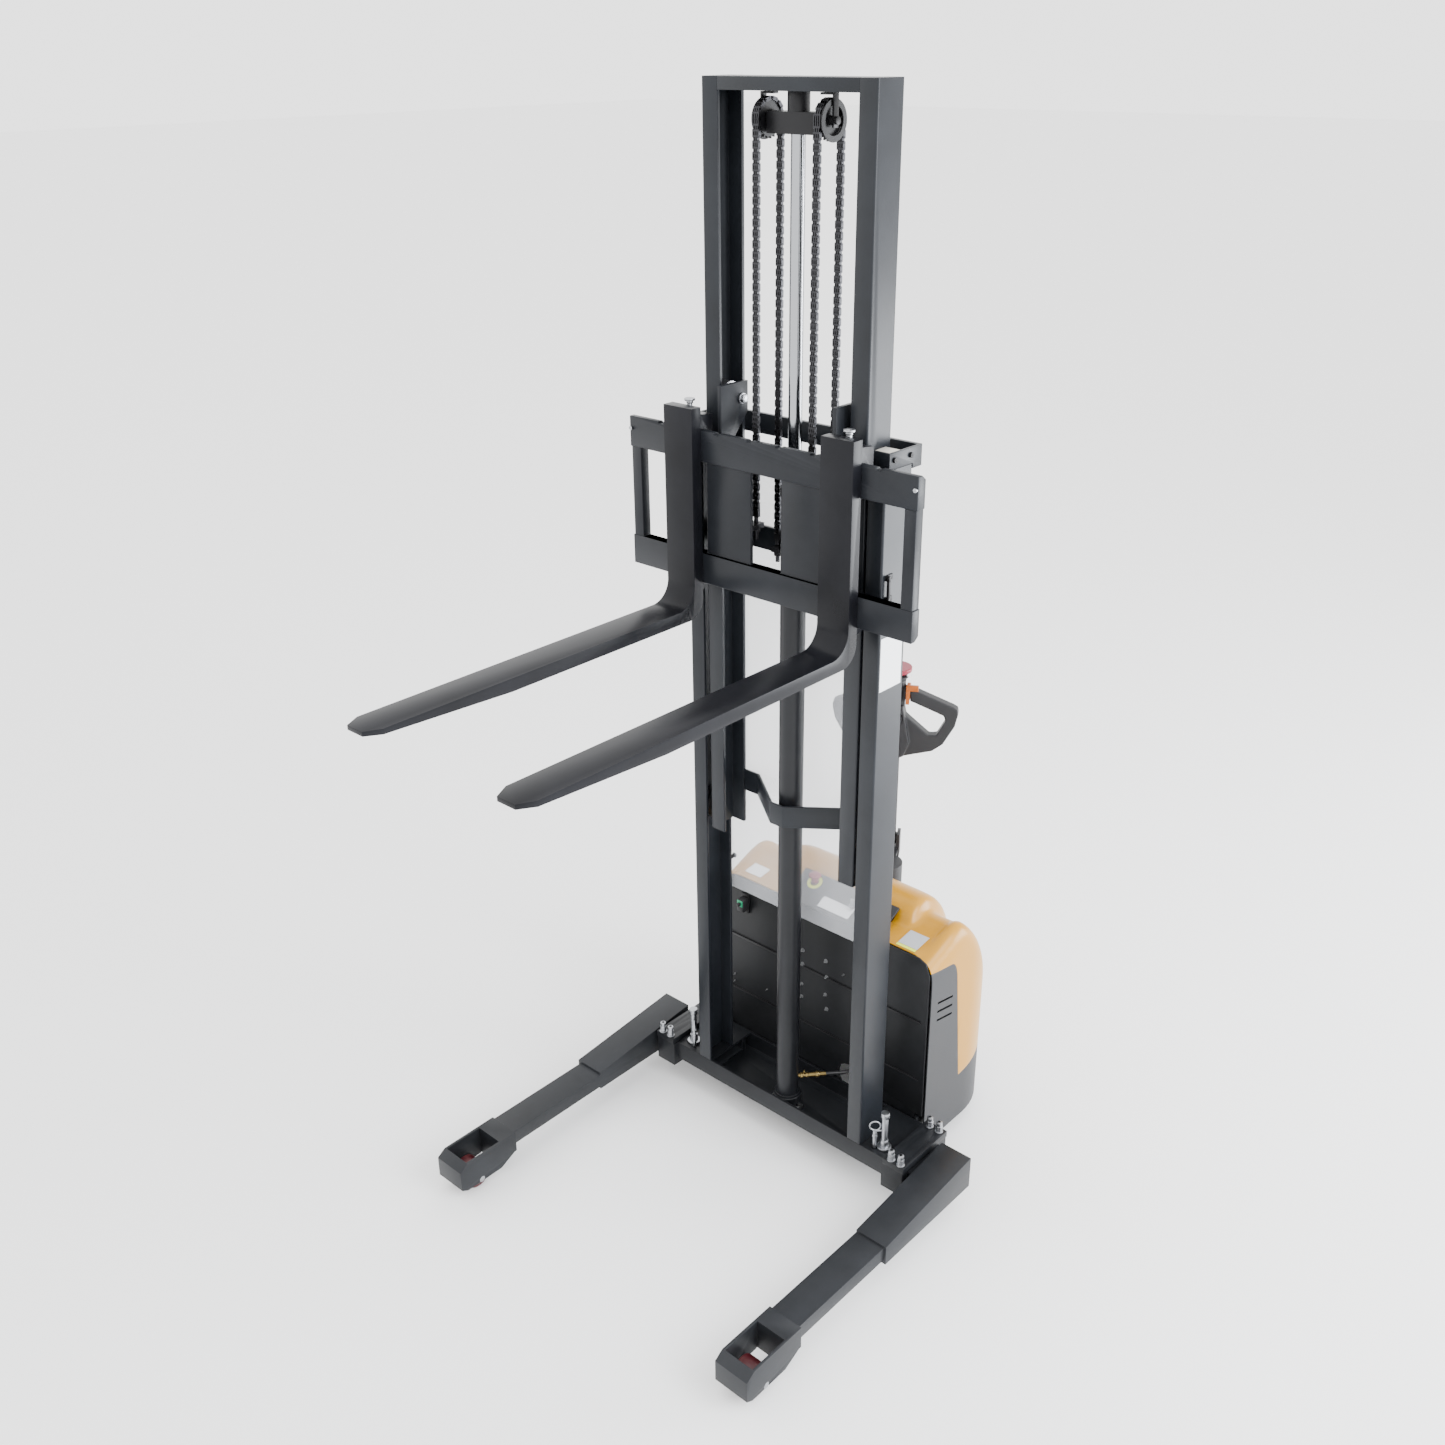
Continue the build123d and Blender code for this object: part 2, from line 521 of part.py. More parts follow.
def inner_cross_members():
    """Top beam between the rails, and the bent strap that passes in front of the cylinder."""
    half = INNER_HALF - INNER_WEB
    beam = block(-half, half, INNER_FRONT + INNER_LIP, INNER_FRONT + INNER_DEPTH - INNER_LIP, BEAM_LOW, INNER_TOP)
    skirt = block(-INNER_HALF + INNER_FLANGE, INNER_HALF - INNER_FLANGE, INNER_FRONT, INNER_FRONT + INNER_LIP,
                  BEAM_LOW, INNER_TOP)
    beam = beam + skirt
    back = INNER_FRONT + INNER_DEPTH
    end = INNER_HALF - INNER_FLANGE
    miter = STRAP_T * tan(atan2(back - STRAP_FRONT, STRAP_KNEE - STRAP_NOSE) / 2)
    rear_face = [(end, back), (STRAP_KNEE, back), (STRAP_NOSE, STRAP_FRONT)]
    front_face = [(end, back - STRAP_T), (STRAP_KNEE + miter, back - STRAP_T), (STRAP_NOSE + miter, STRAP_FRONT - STRAP_T)]
    ring = rear_face + [(-x, y) for x, y in reversed(rear_face)] + [(-x, y) for x, y in front_face]
    strap = slab_z(ring + list(reversed(front_face)), STRAP_LOW, STRAP_HIGH)
    save("inner_cross_members", beam, strap)


def piston_rod():
    rod = rod_z(0, RAIL_MID, ROD_BOTTOM, BOX_LOW, ROD_R)
    piston = rod_z(0, RAIL_MID, ROD_BOTTOM, ROD_BOTTOM + 30, TUBE_R - TUBE_WALL - ROD_GAP)
    save("piston_rod", rod + piston)


def crosshead():
    """Box that carries the two sprocket stubs, with the sleeve up to the mast's top beam."""
    back = 2 * RAIL_MID - BOX_FRONT
    box = block(-BOX_HALF, BOX_HALF, BOX_FRONT, back, BOX_LOW, BOX_HIGH)
    sleeve = rod_z(0, RAIL_MID, BOX_HIGH, BEAM_LOW, SLEEVE_R)
    stub = rod_x(BOX_HALF, CHAIN_X + 14, RAIL_MID, SPROCKET_Z, 11.0)
    boss = rod_x(BOX_HALF, CHAIN_X - SPROCKET_WIDE / 2 - 1, RAIL_MID, SPROCKET_Z, 19.0)
    save("crosshead", box + sleeve + stub + other_side(stub) + boss + other_side(boss))


def chain_sprockets():
    """Two chain wheels, one each side of the crosshead."""
    root_r = PITCH_R - 4.2
    wheel = Pos(CHAIN_X, RAIL_MID, SPROCKET_Z) * Rot(0, 90, 0) * Cylinder(root_r, SPROCKET_WIDE)
    for tooth in range(SPROCKET_TEETH):
        turn = 360 / SPROCKET_TEETH * tooth
        cog = Rot(turn, 0, 0) * slab_x([(root_r - 2, -3.0), (root_r - 2, 3.0), (PITCH_R + 1.5, 1.3),
                                        (PITCH_R + 1.5, -1.3)], -3, 3)
        wheel = wheel + Pos(CHAIN_X, RAIL_MID, SPROCKET_Z) * cog
    wheel = wheel - rod_x(CHAIN_X - 20, CHAIN_X + 20, RAIL_MID, SPROCKET_Z, 11.0 + STUB_GAP)
    save("chain_sprockets", wheel, other_side(wheel))


def chain_guards():
    """Bent bars on the ends of the sprocket stubs that keep the chains on."""
    x0 = CHAIN_X + 14
    top = SPROCKET_Z + PITCH_R + 10
    upright = block(x0, x0 + 5, RAIL_MID - 9, RAIL_MID + 9, SPROCKET_Z - 16, top)
    finger = block(CHAIN_X - 22, x0 + 5, RAIL_MID - 9, RAIL_MID + 9, top, top + 5)
    screw = rod_x(x0 + 5, x0 + 12, RAIL_MID, SPROCKET_Z, 9.0)
    guard = upright + finger + screw
    save("chain_guards", guard, other_side(guard))


def chains():
    front = RAIL_MID - PITCH_R
    rear = RAIL_MID + PITCH_R
    for name, y, low in (("front_chains", front, MOVING_ANCHOR_Z), ("rear_chains", rear, FIXED_ANCHOR_Z)):
        strand = block(CHAIN_X - CHAIN_WIDE / 2, CHAIN_X + CHAIN_WIDE / 2, y - CHAIN_THICK / 2, y + CHAIN_THICK / 2,
                       low, SPROCKET_Z)
        inner = block(CHAIN_X - SPROCKET_WIDE / 2 - 0.5, CHAIN_X + SPROCKET_WIDE / 2 + 0.5, y - 7, y + 7,
                      SPROCKET_Z - 26, SPROCKET_Z + 1)
        strand = strand - inner
        save(name, strand, other_side(strand))


def rollers():
    x0 = OUTER_HALF - OUTER_FLANGE + 5
    big = rod_x(x0, x0 + ROLLER_WIDE, OUTER_DEPTH / 2, MAST_ROLLER_Z, MAST_ROLLER_R)
    big = big - rod_x(x0 - 1, x0 + ROLLER_WIDE + 1, OUTER_DEPTH / 2, MAST_ROLLER_Z, STUB_R + STUB_GAP)
    save("mast_rollers", big, other_side(big))
    x1 = INNER_HALF - INNER_FLANGE + 6
    for name, z in (("carriage_rollers_upper", CAR_ROLLER_HIGH), ("carriage_rollers_lower", CAR_ROLLER_LOW)):
        small = rod_x(x1, x1 + ROLLER_WIDE, RAIL_MID, z, CAR_ROLLER_R)
        small = small - rod_x(x1 - 1, x1 + ROLLER_WIDE + 1, RAIL_MID, z, STUB_R + STUB_GAP)
        save(name, small, other_side(small))


# ---------------------------------------------------------------- carriage
def carriage_frame():
    """Top and bottom bars with hook edges, end posts and two facing plates."""
    back = BAR_FRONT + BAR_T
    top_low = TOP_BAR_TOP - BAR_HIGH
    low_top = LOW_BAR_LOW + BAR_HIGH
    top = slab_x([(BAR_FRONT, top_low), (BAR_FRONT, TOP_BAR_TOP), (BAR_FRONT + 16, TOP_BAR_TOP),
                  (back, TOP_BAR_TOP - 12), (back, top_low)], -BAR_HALF, BAR_HALF)
    low = slab_x([(BAR_FRONT, LOW_BAR_LOW), (BAR_FRONT, low_top), (back, low_top), (back, LOW_BAR_LOW + 12),
                  (BAR_FRONT + 16, LOW_BAR_LOW)], -BAR_HALF, BAR_HALF)
    frame = top + low
    post = block(BAR_HALF - 3 - POST_W, BAR_HALF - 3, BAR_FRONT + 2, back, low_top - 1, top_low + 1)
    plate = block(PLATE_INNER, PLATE_OUTER, PLATE_FRONT, PLATE_FRONT + PLATE_T, low_top - 20, top_low + 20)
    frame = frame + post + other_side(post) + plate + other_side(plate)
    notch = block(-8, 8, BAR_FRONT - 1, back + 1, TOP_BAR_TOP - 6, TOP_BAR_TOP + 1)
    for x in NOTCHES:
        frame = frame - Pos(x, 0, 0) * notch
    save("carriage_frame", frame)


NOTCHES = (-360, -160, -48, 48, 160, 360)


def carriage_side_plates():
    """Plates behind the bars that carry the rollers, with their stubs."""
    z0 = LOW_BAR_LOW + SIDE_RAISE
    outline = [(BAR_FRONT + BAR_T, z0), (BAR_FRONT + BAR_T, TOP_BAR_TOP - 34), (-24, TOP_BAR_TOP - 34), (-24, SIDE_TOP),
               (SIDE_BACK, SIDE_TOP), (SIDE_BACK, SIDE_TOP - 80), (20, SIDE_TOP - 150), (20, z0 + 150),
               (SIDE_BACK, z0 + 80), (SIDE_BACK, z0)]
    plate = slab_x(outline, SIDE_X, SIDE_X + SIDE_T)
    for z in (CAR_ROLLER_HIGH, CAR_ROLLER_LOW):
        x1 = INNER_HALF - INNER_FLANGE + 6
        plate = plate + rod_x(SIDE_X + SIDE_T, x1 + ROLLER_WIDE, RAIL_MID, z, STUB_R)
        plate = plate + rod_x(SIDE_X + SIDE_T, x1 - 1, RAIL_MID, z, STUB_R + 6)
        plate = plate + rod_x(SIDE_X - 7, SIDE_X, RAIL_MID, z, 11.0)
    save("carriage_side_plates", plate, other_side(plate))


def carriage_anchors():
    """Brackets on the facing plates that hold the moving chain ends."""
    y = RAIL_MID - PITCH_R
    plate_back = PLATE_FRONT + PLATE_T
    shelf = block(CHAIN_X - 16, CHAIN_X + 16, plate_back, y + 14, MOVING_ANCHOR_Z - 52, MOVING_ANCHOR_Z - 38)
    wall = block(CHAIN_X - 16, CHAIN_X + 16, plate_back, plate_back + 8, MOVING_ANCHOR_Z - 100, MOVING_ANCHOR_Z - 38)
    bolt = rod_z(CHAIN_X, y, MOVING_ANCHOR_Z - 84, MOVING_ANCHOR_Z - 16, ANCHOR_BOLT_R)
    head = block(CHAIN_X - 10, CHAIN_X + 10, y - 5, y + 5, MOVING_ANCHOR_Z - 22, MOVING_ANCHOR_Z)
    nut = hex_z(CHAIN_X, y, MOVING_ANCHOR_Z - 64, MOVING_ANCHOR_Z - 52, 19)
    one = shelf + wall + bolt + head + nut
    save("carriage_anchors", one, other_side(one))


# ---------------------------------------------------------------- forks
def fork_outline():
    """Side view of a fork arm in Y and Z, with its bent heel and tapered blade."""
    front = BAR_FRONT - FORK_T
    tip = -FORK_REACH
    heel = FORK_HEEL
    low = FORK_TOP - FORK_T
    back = BAR_FRONT - HOOK_GAP
    inner_arc = JernArc((front, FORK_TOP + heel), (0, -1), heel, -90)
    outer_r = heel * 0.9
    shank_front = Line((front, FORK_HEAD), (front, FORK_TOP + heel))
    blade_top = Line(inner_arc @ 1, (tip, FORK_TOP))
    nose = Line((tip, FORK_TOP), (tip, FORK_TOP - FORK_TIP_T))
    under = Line((tip, FORK_TOP - FORK_TIP_T), (tip + 420, low))
    flat = Line((tip + 420, low), (back - outer_r, low))
    outer_arc = JernArc((back - outer_r, low), (1, 0), outer_r, 90)
    shank_back = Line(outer_arc @ 1, (back, FORK_HEAD))
    crown = Line((back, FORK_HEAD), (front, FORK_HEAD))
    lines = shank_front + inner_arc + blade_top + nose + under + flat + outer_arc + shank_back + crown
    return Plane.YZ * make_face(lines)


def fork(side):
    half = FORK_W / 2
    body = Pos(-half, 0, 0) * extrude(fork_outline(), amount=FORK_W, dir=(1, 0, 0))
    tip = -FORK_REACH
    low = FORK_TOP - FORK_T
    cut = slab_z([(half + 1, tip - 1), (half + 1, tip + 44), (half - 22, tip - 1)], low - 20, FORK_TOP + 5)
    body = body - cut - other_side(cut)
    gap = HOOK_GAP
    back = BAR_FRONT + BAR_T
    top_hook = slab_x([(BAR_FRONT - gap - 1, TOP_BAR_TOP + gap), (BAR_FRONT - gap - 1, TOP_BAR_TOP + 42),
                       (back + 14, TOP_BAR_TOP + 36), (back + 14, TOP_BAR_TOP - 28), (back + gap, TOP_BAR_TOP - 28),
                       (back + gap, TOP_BAR_TOP - 12 + gap), (BAR_FRONT + 16, TOP_BAR_TOP + gap)], -half, half)
    low_hook = slab_x([(BAR_FRONT - gap - 1, LOW_BAR_LOW - gap), (BAR_FRONT + 16, LOW_BAR_LOW - gap),
                       (back + gap, LOW_BAR_LOW + 12 - gap), (back + gap, LOW_BAR_LOW + 22), (back + 12, LOW_BAR_LOW + 22),
                       (back + 12, LOW_BAR_LOW - 18), (BAR_FRONT - gap - 1, LOW_BAR_LOW - 30)], -half + 12, half - 12)
    body = body + top_hook + low_hook
    socket_y = BAR_FRONT + 12
    body = body - rod_z(0, socket_y, TOP_BAR_TOP - 30, FORK_HEAD + 1, LATCH_R + ROD_GAP)
    save("fork_right" if side > 0 else "fork_left", Pos(side * FORK_X, 0, 0) * body)


def fork_latch(side):
    """Spring latch in the top hook: a disc handle on a stem."""
    y = BAR_FRONT + 12
    pin = rod_z(0, y, TOP_BAR_TOP + 1.0, FORK_HEAD + 9, LATCH_R)
    pin = pin + rod_z(0, y, FORK_HEAD + 9, FORK_HEAD + 15, 14.5)
    save("fork_latch_right" if side > 0 else "fork_latch_left", Pos(side * FORK_X, 0, 0) * pin)


# ---------------------------------------------------------------- covers and panels
def cover_body(inset):
    """Outer form of the power unit's covers, drawn inset mm smaller all round."""
    half = COVER_HALF - inset
    rear = REAR_REACH - inset
    front = COVER_FRONT
    height = 900
    plan = Rectangle(2 * half, rear - front)
    plan = fillet(plan.vertices().filter_by(lambda v: v.Y > 0), COVER_CORNER - inset)
    column = Pos(0, (rear + front) / 2, COVER_LOW) * extrude(plan, amount=height)
    side = [(front, COVER_LOW), (front, 740 - inset)]
    side += [(y, z - inset) for y, z in HOOD_PROFILE]
    side += [(rear, 330 - inset), (rear, COVER_LOW)]
    profile = slab_x(side, -half - 1, half + 1)
    right = [(half, COVER_LOW), (half, 690 - inset)] + [(x - inset, z - inset) for x, z in HOOD_SHOULDER]
    face = right + [(-x, z) for x, z in reversed(right)]
    shoulders = slab_y(face, front - 1, rear + 1)
    return column & profile & shoulders


HOOD_PROFILE = ((310, 786), (400, 812), (440, 800), (480, 768), (520, 726), (560, 672), (600, 605), (635, 525),
                (655, 440))
HOOD_SHOULDER = ((406, 725), (392, 756), (372, 786), (346, 776), (322, 770), (300, 782), (268, 806), (236, 816))


def cover_shell():
    return cover_body(0) - Pos(0, 0, -1) * cover_body(COVER_WALL)


def skirt_region():
    """Side view of what belongs to the lower cover rather than to the hood."""
    front = COVER_FRONT - 1
    rear = REAR_REACH + 1
    points = [(front, COVER_LOW - 2), (front, 694), (300, 684), (326, 676), (342, 658), (350, 630), (394, 230),
              (430, 234), (520, 250), (rear, 264), (rear, COVER_LOW - 2)]
    return slab_x(points, -COVER_HALF - 5, COVER_HALF + 5)


def dash_region():
    return block(DASH_X0, DASH_X1, COVER_FRONT - 1, DASH_BACK, 700, 900)


def covers():
    shell = cover_shell()
    well = rod_z(0, STEER_Y, 400, 950, WELL_R)
    hood = shell - skirt_region() - dash_region() - well
    save("hood", largest(hood))
    skirt = shell & skirt_region()
    for index in range(3):
        z = 568 - 31 * index
        slot = Rot(-11, 0, 0) * Box(60, 80, 7)
        skirt = skirt - Pos(COVER_HALF, 292, z) * slot - Pos(-COVER_HALF, 292, z) * slot
    save("lower_cover", skirt)
    dash = shell & dash_region()
    dash = dash - rod_z(STOP_X, STOP_Y, 650, 900, 11.0) - rod_z(KEY_X, KEY_Y, 650, 900, 9.0)
    save("dash_panel", dash)


def largest(shape):
    return max(shape.solids(), key=lambda s: s.volume)


def dash_height(y):
    """Height of the dash panel's top at a distance behind the mast face."""
    return 740 + (y - COVER_FRONT) * (786 - 740) / (310 - COVER_FRONT)


def front_plate():
    face = COVER_FRONT - FRONT_PLATE_T
    half = PLATE_HALF
    inner = CHEEK_HALF - CHEEK_T - 4
    outline = [(-inner, COVER_LOW), (-inner, PLATE_STEP), (-half, PLATE_STEP), (-half, 684), (-half + 14, 722),
               (-half + 40, 734), (half - 40, 734), (half - 14, 722), (half, 684), (half, PLATE_STEP),
               (inner, PLATE_STEP), (inner, COVER_LOW)]
    plate = slab_y(outline, face, COVER_FRONT)
    plate = plate - rod_y(HOSE_HOLE_X, face - 1, COVER_FRONT + 1, HOSE_HOLE_Z, HOSE_HOLE_R)
    save("front_plate", plate)


def guard_sheet():
    sheet = block(-GUARD_HALF, GUARD_HALF, GUARD_FRONT, GUARD_FRONT + GUARD_T, GUARD_LOW, GUARD_HIGH)
    save("guard_sheet", sheet)


def limit_switch():
    face = COVER_FRONT - FRONT_PLATE_T
    body = block(-322, -296, face - 30, face, 628, 672) + rod_y(-309, face - 44, face - 30, 660, 6.0)
    save("limit_switch", body)


def emergency_stop():
    z = dash_height(STOP_Y)
    stem = rod_z(STOP_X, STOP_Y, z - 30, z + 18, 10.0)
    cap = rod_z(STOP_X, STOP_Y, z + 18, z + 32, 20.0)
    save("emergency_stop", stem + cap)


def key_switch():
    z = dash_height(KEY_Y)
    barrel = rod_z(KEY_X, KEY_Y, z - 24, z + 8, 8.0) + rod_z(KEY_X, KEY_Y, z + 7, z + 12, 12.0)
    key = block(KEY_X - 8, KEY_X + 8, KEY_Y - 1.5, KEY_Y + 1.5, z + 12, z + 34)
    save("key_switch", barrel + key)


def battery():
    deck = DECK_Z + DECK_T
    first = block(-372, -190, 236, 350, deck, deck + 220)
    second = block(-372, -190, 352, 466, deck, deck + 220)
    save("battery", first, second)


def hydraulic_power_pack():
    deck = DECK_Z + DECK_T
    tank = block(190, 372, 240, 468, deck, deck + 130)
    motor = rod_y(280, 250, 450, deck + 190, 52.0)
    pump = block(HOSE_HOLE_X - 30, HOSE_HOLE_X + 40, PUMP_FRONT, PUMP_FRONT + 60, HOSE_Z - 54, DECK_Z)
    saddle = block(250, 310, 280, 420, deck + 130, deck + 150)
    save("hydraulic_power_pack", tank + motor + saddle, pump)


# ---------------------------------------------------------------- drive, casters and tiller
def steered(shape):
    """Place a shape drawn about the steering axis, turned to the stored steering angle."""
    return Pos(0, STEER_Y, 0) * Rot(0, 0, STEER_ANGLE) * shape


def drive_unit():
    ring = rod_z(0, 0, DECK_Z, DECK_Z + DECK_T + 20, TURNTABLE_R)
    arm_x = DRIVE_WIDE / 2 + 6
    arm = block(arm_x, arm_x + 34, -44, 44, DRIVE_R - 40, DECK_Z)
    head = block(-44, arm_x + 34, -44, 44, 2 * DRIVE_R + 8, DECK_Z)
    hub = rod_x(-DRIVE_WIDE / 2, arm_x, 0, DRIVE_R, 22.0)
    housing = ring + arm + head + hub
    column = rod_z(0, 0, 520, TOWER_TOP, TOWER_R)
    boom = block(-30, 30, 0, TILLER_Y + 14, TOWER_TOP, TOWER_TOP + 30)
    boom = boom + rod_z(0, 0, TOWER_TOP, TOWER_TOP + 30, TOWER_R)
    ears = block(-34, -24, TILLER_Y - 24, TILLER_Y + 24, TOWER_TOP, TILLER_Z + 24)
    ears = ears + other_side(ears)
    pin = rod_x(-34, 34, TILLER_Y, TILLER_Z, TILLER_PIN_R)
    bonnet = column + boom + ears + pin
    save("drive_gearbox", steered(housing))
    save("drive_motor", steered(rod_z(0, 0, DECK_Z + DECK_T + 20, 520, 66.0)))
    save("tiller_base", steered(bonnet))
    wheel = rod_x(-DRIVE_WIDE / 2, DRIVE_WIDE / 2, 0, DRIVE_R, DRIVE_R)
    wheel = wheel - rod_x(-DRIVE_WIDE / 2 - 1, DRIVE_WIDE / 2 + 1, 0, DRIVE_R, 22.0 + STUB_GAP)
    save("drive_wheel", steered(wheel))


def caster(side):
    x = side * CASTER_X
    y = CASTER_Y
    half = CASTER_WIDE / 2
    name = "right" if side > 0 else "left"
    top = rod_z(x, y, DECK_Z - 14, DECK_Z - 1, 34.0) + rod_z(x, y, DECK_Z - 1, DECK_Z + DECK_T + 14, 10.0)
    top = top + rod_z(x, y, DECK_Z + DECK_T + 2, DECK_Z + DECK_T + 14, 17.0)
    cheek_y = [(y - 28, DECK_Z - 14), (y + 28, DECK_Z - 14), (y + CASTER_TRAIL + 14, CASTER_R - 14),
               (y + CASTER_TRAIL - 14, CASTER_R - 14)]
    for cheek in (x - half - 7, x + half + 2):
        top = top + slab_x(cheek_y, cheek, cheek + 5)
    top = top + block(x - half - 7, x + half + 7, y - 28, y + 28, DECK_Z - 20, DECK_Z - 14)
    axle = rod_x(x - half - 7, x + half + 7, y + CASTER_TRAIL, CASTER_R, 6.0)
    save("caster_fork_" + name, top + axle)
    wheel = rod_x(x - half, x + half, y + CASTER_TRAIL, CASTER_R, CASTER_R)
    wheel = wheel - rod_x(x - half - 1, x + half + 1, y + CASTER_TRAIL, CASTER_R, 6.0 + STUB_GAP)
    save("caster_wheel_" + name, wheel)


def tiller_arm():
    y = TILLER_Y
    tube = block(-19, 19, y - 15, y + 15, TILLER_Z + 8, HEAD_LOW + 30)
    hub = rod_x(-22, 22, y, TILLER_Z, 20.0)
    arm = tube + hub - rod_x(-23, 23, y, TILLER_Z, TILLER_PIN_R + STUB_GAP)
    save("tiller_arm", steered(arm))


def tiller_head():
    """Head casting with two closed hand loops, a round hub and the seat of the belly button."""
    y = TILLER_Y
    half = 17.0
    tip = GRIP_HALF
    outer = [(0, HEAD_LOW), (16, HEAD_LOW + 14), (tip - 75, HEAD_LOW + 44), (tip - 43, HEAD_LOW + 70),
             (tip - 9, HEAD_LOW + 134), (tip, HEAD_LOW + 176), (tip - 3, HEAD_LOW + 192), (tip - 17, HEAD_LOW + 200),
             (46, GRIP_Z + 16), (0, GRIP_Z + 16)]
    hole = [(60, GRIP_Z - 32), (tip - 45, HEAD_LOW + 168), (tip - 39, HEAD_LOW + 150), (tip - 65, HEAD_LOW + 100),
            (tip - 89, HEAD_LOW + 98), (30, HEAD_LOW + 164), (30, GRIP_Z - 22)]
    loop = slab_y(outer, y - half, y + half) - slab_y(hole, y - half - 1, y + half + 1)
    chest = slab_y([(0, HEAD_LOW + 6), (34, HEAD_LOW + 26), (50, HEAD_LOW + 70), (26, GRIP_Z - 40), (0, GRIP_Z - 40)],
                   y - 34, y + 26)
    head = loop + other_side(loop) + chest + other_side(chest)
    hub = rod_z(0, y, GRIP_Z - 42, GRIP_Z + 40, 30.0)
    head = head + hub + rod_z(0, y, GRIP_Z + 40, GRIP_Z + 47, 26.0) + rod_z(0, y, GRIP_Z + 47, GRIP_Z + 60, BELLY_R)
    seat = rod_z(0, y, GRIP_Z + 20, GRIP_Z + 61, 20.0)
    head = head - seat
    socket = block(-19, 19, y - 15, y + 15, HEAD_LOW, HEAD_LOW + 30)
    head = head - socket
    for x, z, r in ((0, HEAD_LOW + 118, 9.0),):
        head = head - rod_y(x, y - 40, y - 22, z, r + 0.5)
    head = head - block(-24.5, 24.5, y - 40, y - 25, HEAD_LOW + 137.5, HEAD_LOW + 166.5)
    for side in (-1, 1):
        head = head - (rod_x(side * 33, side * 46, y, GRIP_Z, 62.0) - rod_x(side * 32, side * 47, y, GRIP_Z, 17.2))
    save("tiller_head", steered(head))


def tiller_controls():
    y = TILLER_Y
    wings = []
    reach = y - 22
    for side in (-1, 1):
        ring = rod_x(side * 34, side * 45, y, GRIP_Z, 27.0) - rod_x(side * 33, side * 46, y, GRIP_Z, 17.6)
        upper = block(side * 34, side * 72, reach - 12, reach, GRIP_Z + 14, GRIP_Z + 32)
        link = block(side * 34, side * 45, reach - 12, reach + 2, GRIP_Z - 32, GRIP_Z + 32)
        wings.append(steered(ring + upper + link))
    save("throttle_butterfly", *wings)
    belly = rod_z(0, y, GRIP_Z + 68, GRIP_Z + 82, BELLY_R) + rod_z(0, y, GRIP_Z + 30, GRIP_Z + 68, 18.0)
    save("belly_button", steered(belly))
    rocker = block(-24, 24, y - 40, y - 28, HEAD_LOW + 138.5, HEAD_LOW + 165.5)
    rocker = rocker + rod_x(-24, 24, y - 28, HEAD_LOW + 152, 2.5)
    save("lift_rocker", steered(rocker))
    horn = rod_y(0, y - 39, y - 25, HEAD_LOW + 118, 9.0)
    save("horn_button", steered(horn))


def main():
    os.makedirs("parts", exist_ok=True)
    for make in (base_frame, clamp_plates, chassis_bolts, outer_rails, outer_mast_tie, guide_pads, chain_anchors,
                 cylinder_tube, cylinder_fittings, hydraulic_hose, inner_rails, inner_cross_members,
                 piston_rod, crosshead, chain_sprockets, chain_guards, chains, rollers, carriage_frame,
                 carriage_side_plates, carriage_anchors, covers, front_plate, guard_sheet, limit_switch,
                 emergency_stop, key_switch, battery, hydraulic_power_pack, drive_unit, tiller_arm, tiller_head,
                 tiller_controls):
        make()
    for side in (-1, 1):
        for make in (leg, lock_pin, fork, fork_latch, caster):
            make(side)


main()
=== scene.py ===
"""An electric straddle stacker: a pedestrian truck with its mast part raised and its forks up."""
import json
import math
import bmesh
import bpy
from mathutils import Matrix, Vector, noise


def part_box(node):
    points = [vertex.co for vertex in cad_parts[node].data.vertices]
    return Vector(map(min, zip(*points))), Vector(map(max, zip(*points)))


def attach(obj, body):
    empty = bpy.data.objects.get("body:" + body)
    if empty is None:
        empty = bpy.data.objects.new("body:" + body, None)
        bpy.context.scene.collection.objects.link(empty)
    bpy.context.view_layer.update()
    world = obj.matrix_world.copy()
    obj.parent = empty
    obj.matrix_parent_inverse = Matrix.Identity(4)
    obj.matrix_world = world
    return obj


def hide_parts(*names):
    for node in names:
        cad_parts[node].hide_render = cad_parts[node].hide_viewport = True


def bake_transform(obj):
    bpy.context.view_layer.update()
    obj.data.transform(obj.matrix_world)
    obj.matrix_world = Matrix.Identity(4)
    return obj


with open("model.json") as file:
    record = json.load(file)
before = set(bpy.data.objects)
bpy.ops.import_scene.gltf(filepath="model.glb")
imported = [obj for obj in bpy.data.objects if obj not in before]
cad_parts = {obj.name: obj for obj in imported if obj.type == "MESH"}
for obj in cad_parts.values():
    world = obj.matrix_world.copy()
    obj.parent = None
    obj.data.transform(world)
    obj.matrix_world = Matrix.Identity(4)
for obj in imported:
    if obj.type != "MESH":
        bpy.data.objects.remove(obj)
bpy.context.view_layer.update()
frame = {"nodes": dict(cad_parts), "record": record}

# ---------------------------------------------------------------- the place to stand
# The truck is looked at from its front left corner, from a little above head height.
# Lengths below are millimetres, and y is counted from the front face of the mast.
MM = 0.001
MAST_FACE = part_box("outer_rails")[0].y
TO_FRAME = Matrix.Translation((0.0, MAST_FACE, 0.0)) @ Matrix.Scale(MM, 4)
HOME = {node: body for body, nodes in frame["record"]["behaviour"]["bodies"].items() for node in nodes}
SLOT = {row["node"]: row["material_slot"] for row in frame["record"]["subparts"]}


def at(x, y, z):
    """A point given in millimetres from the mast's face, in the frame's metres."""
    return TO_FRAME @ Vector((x, y, z))


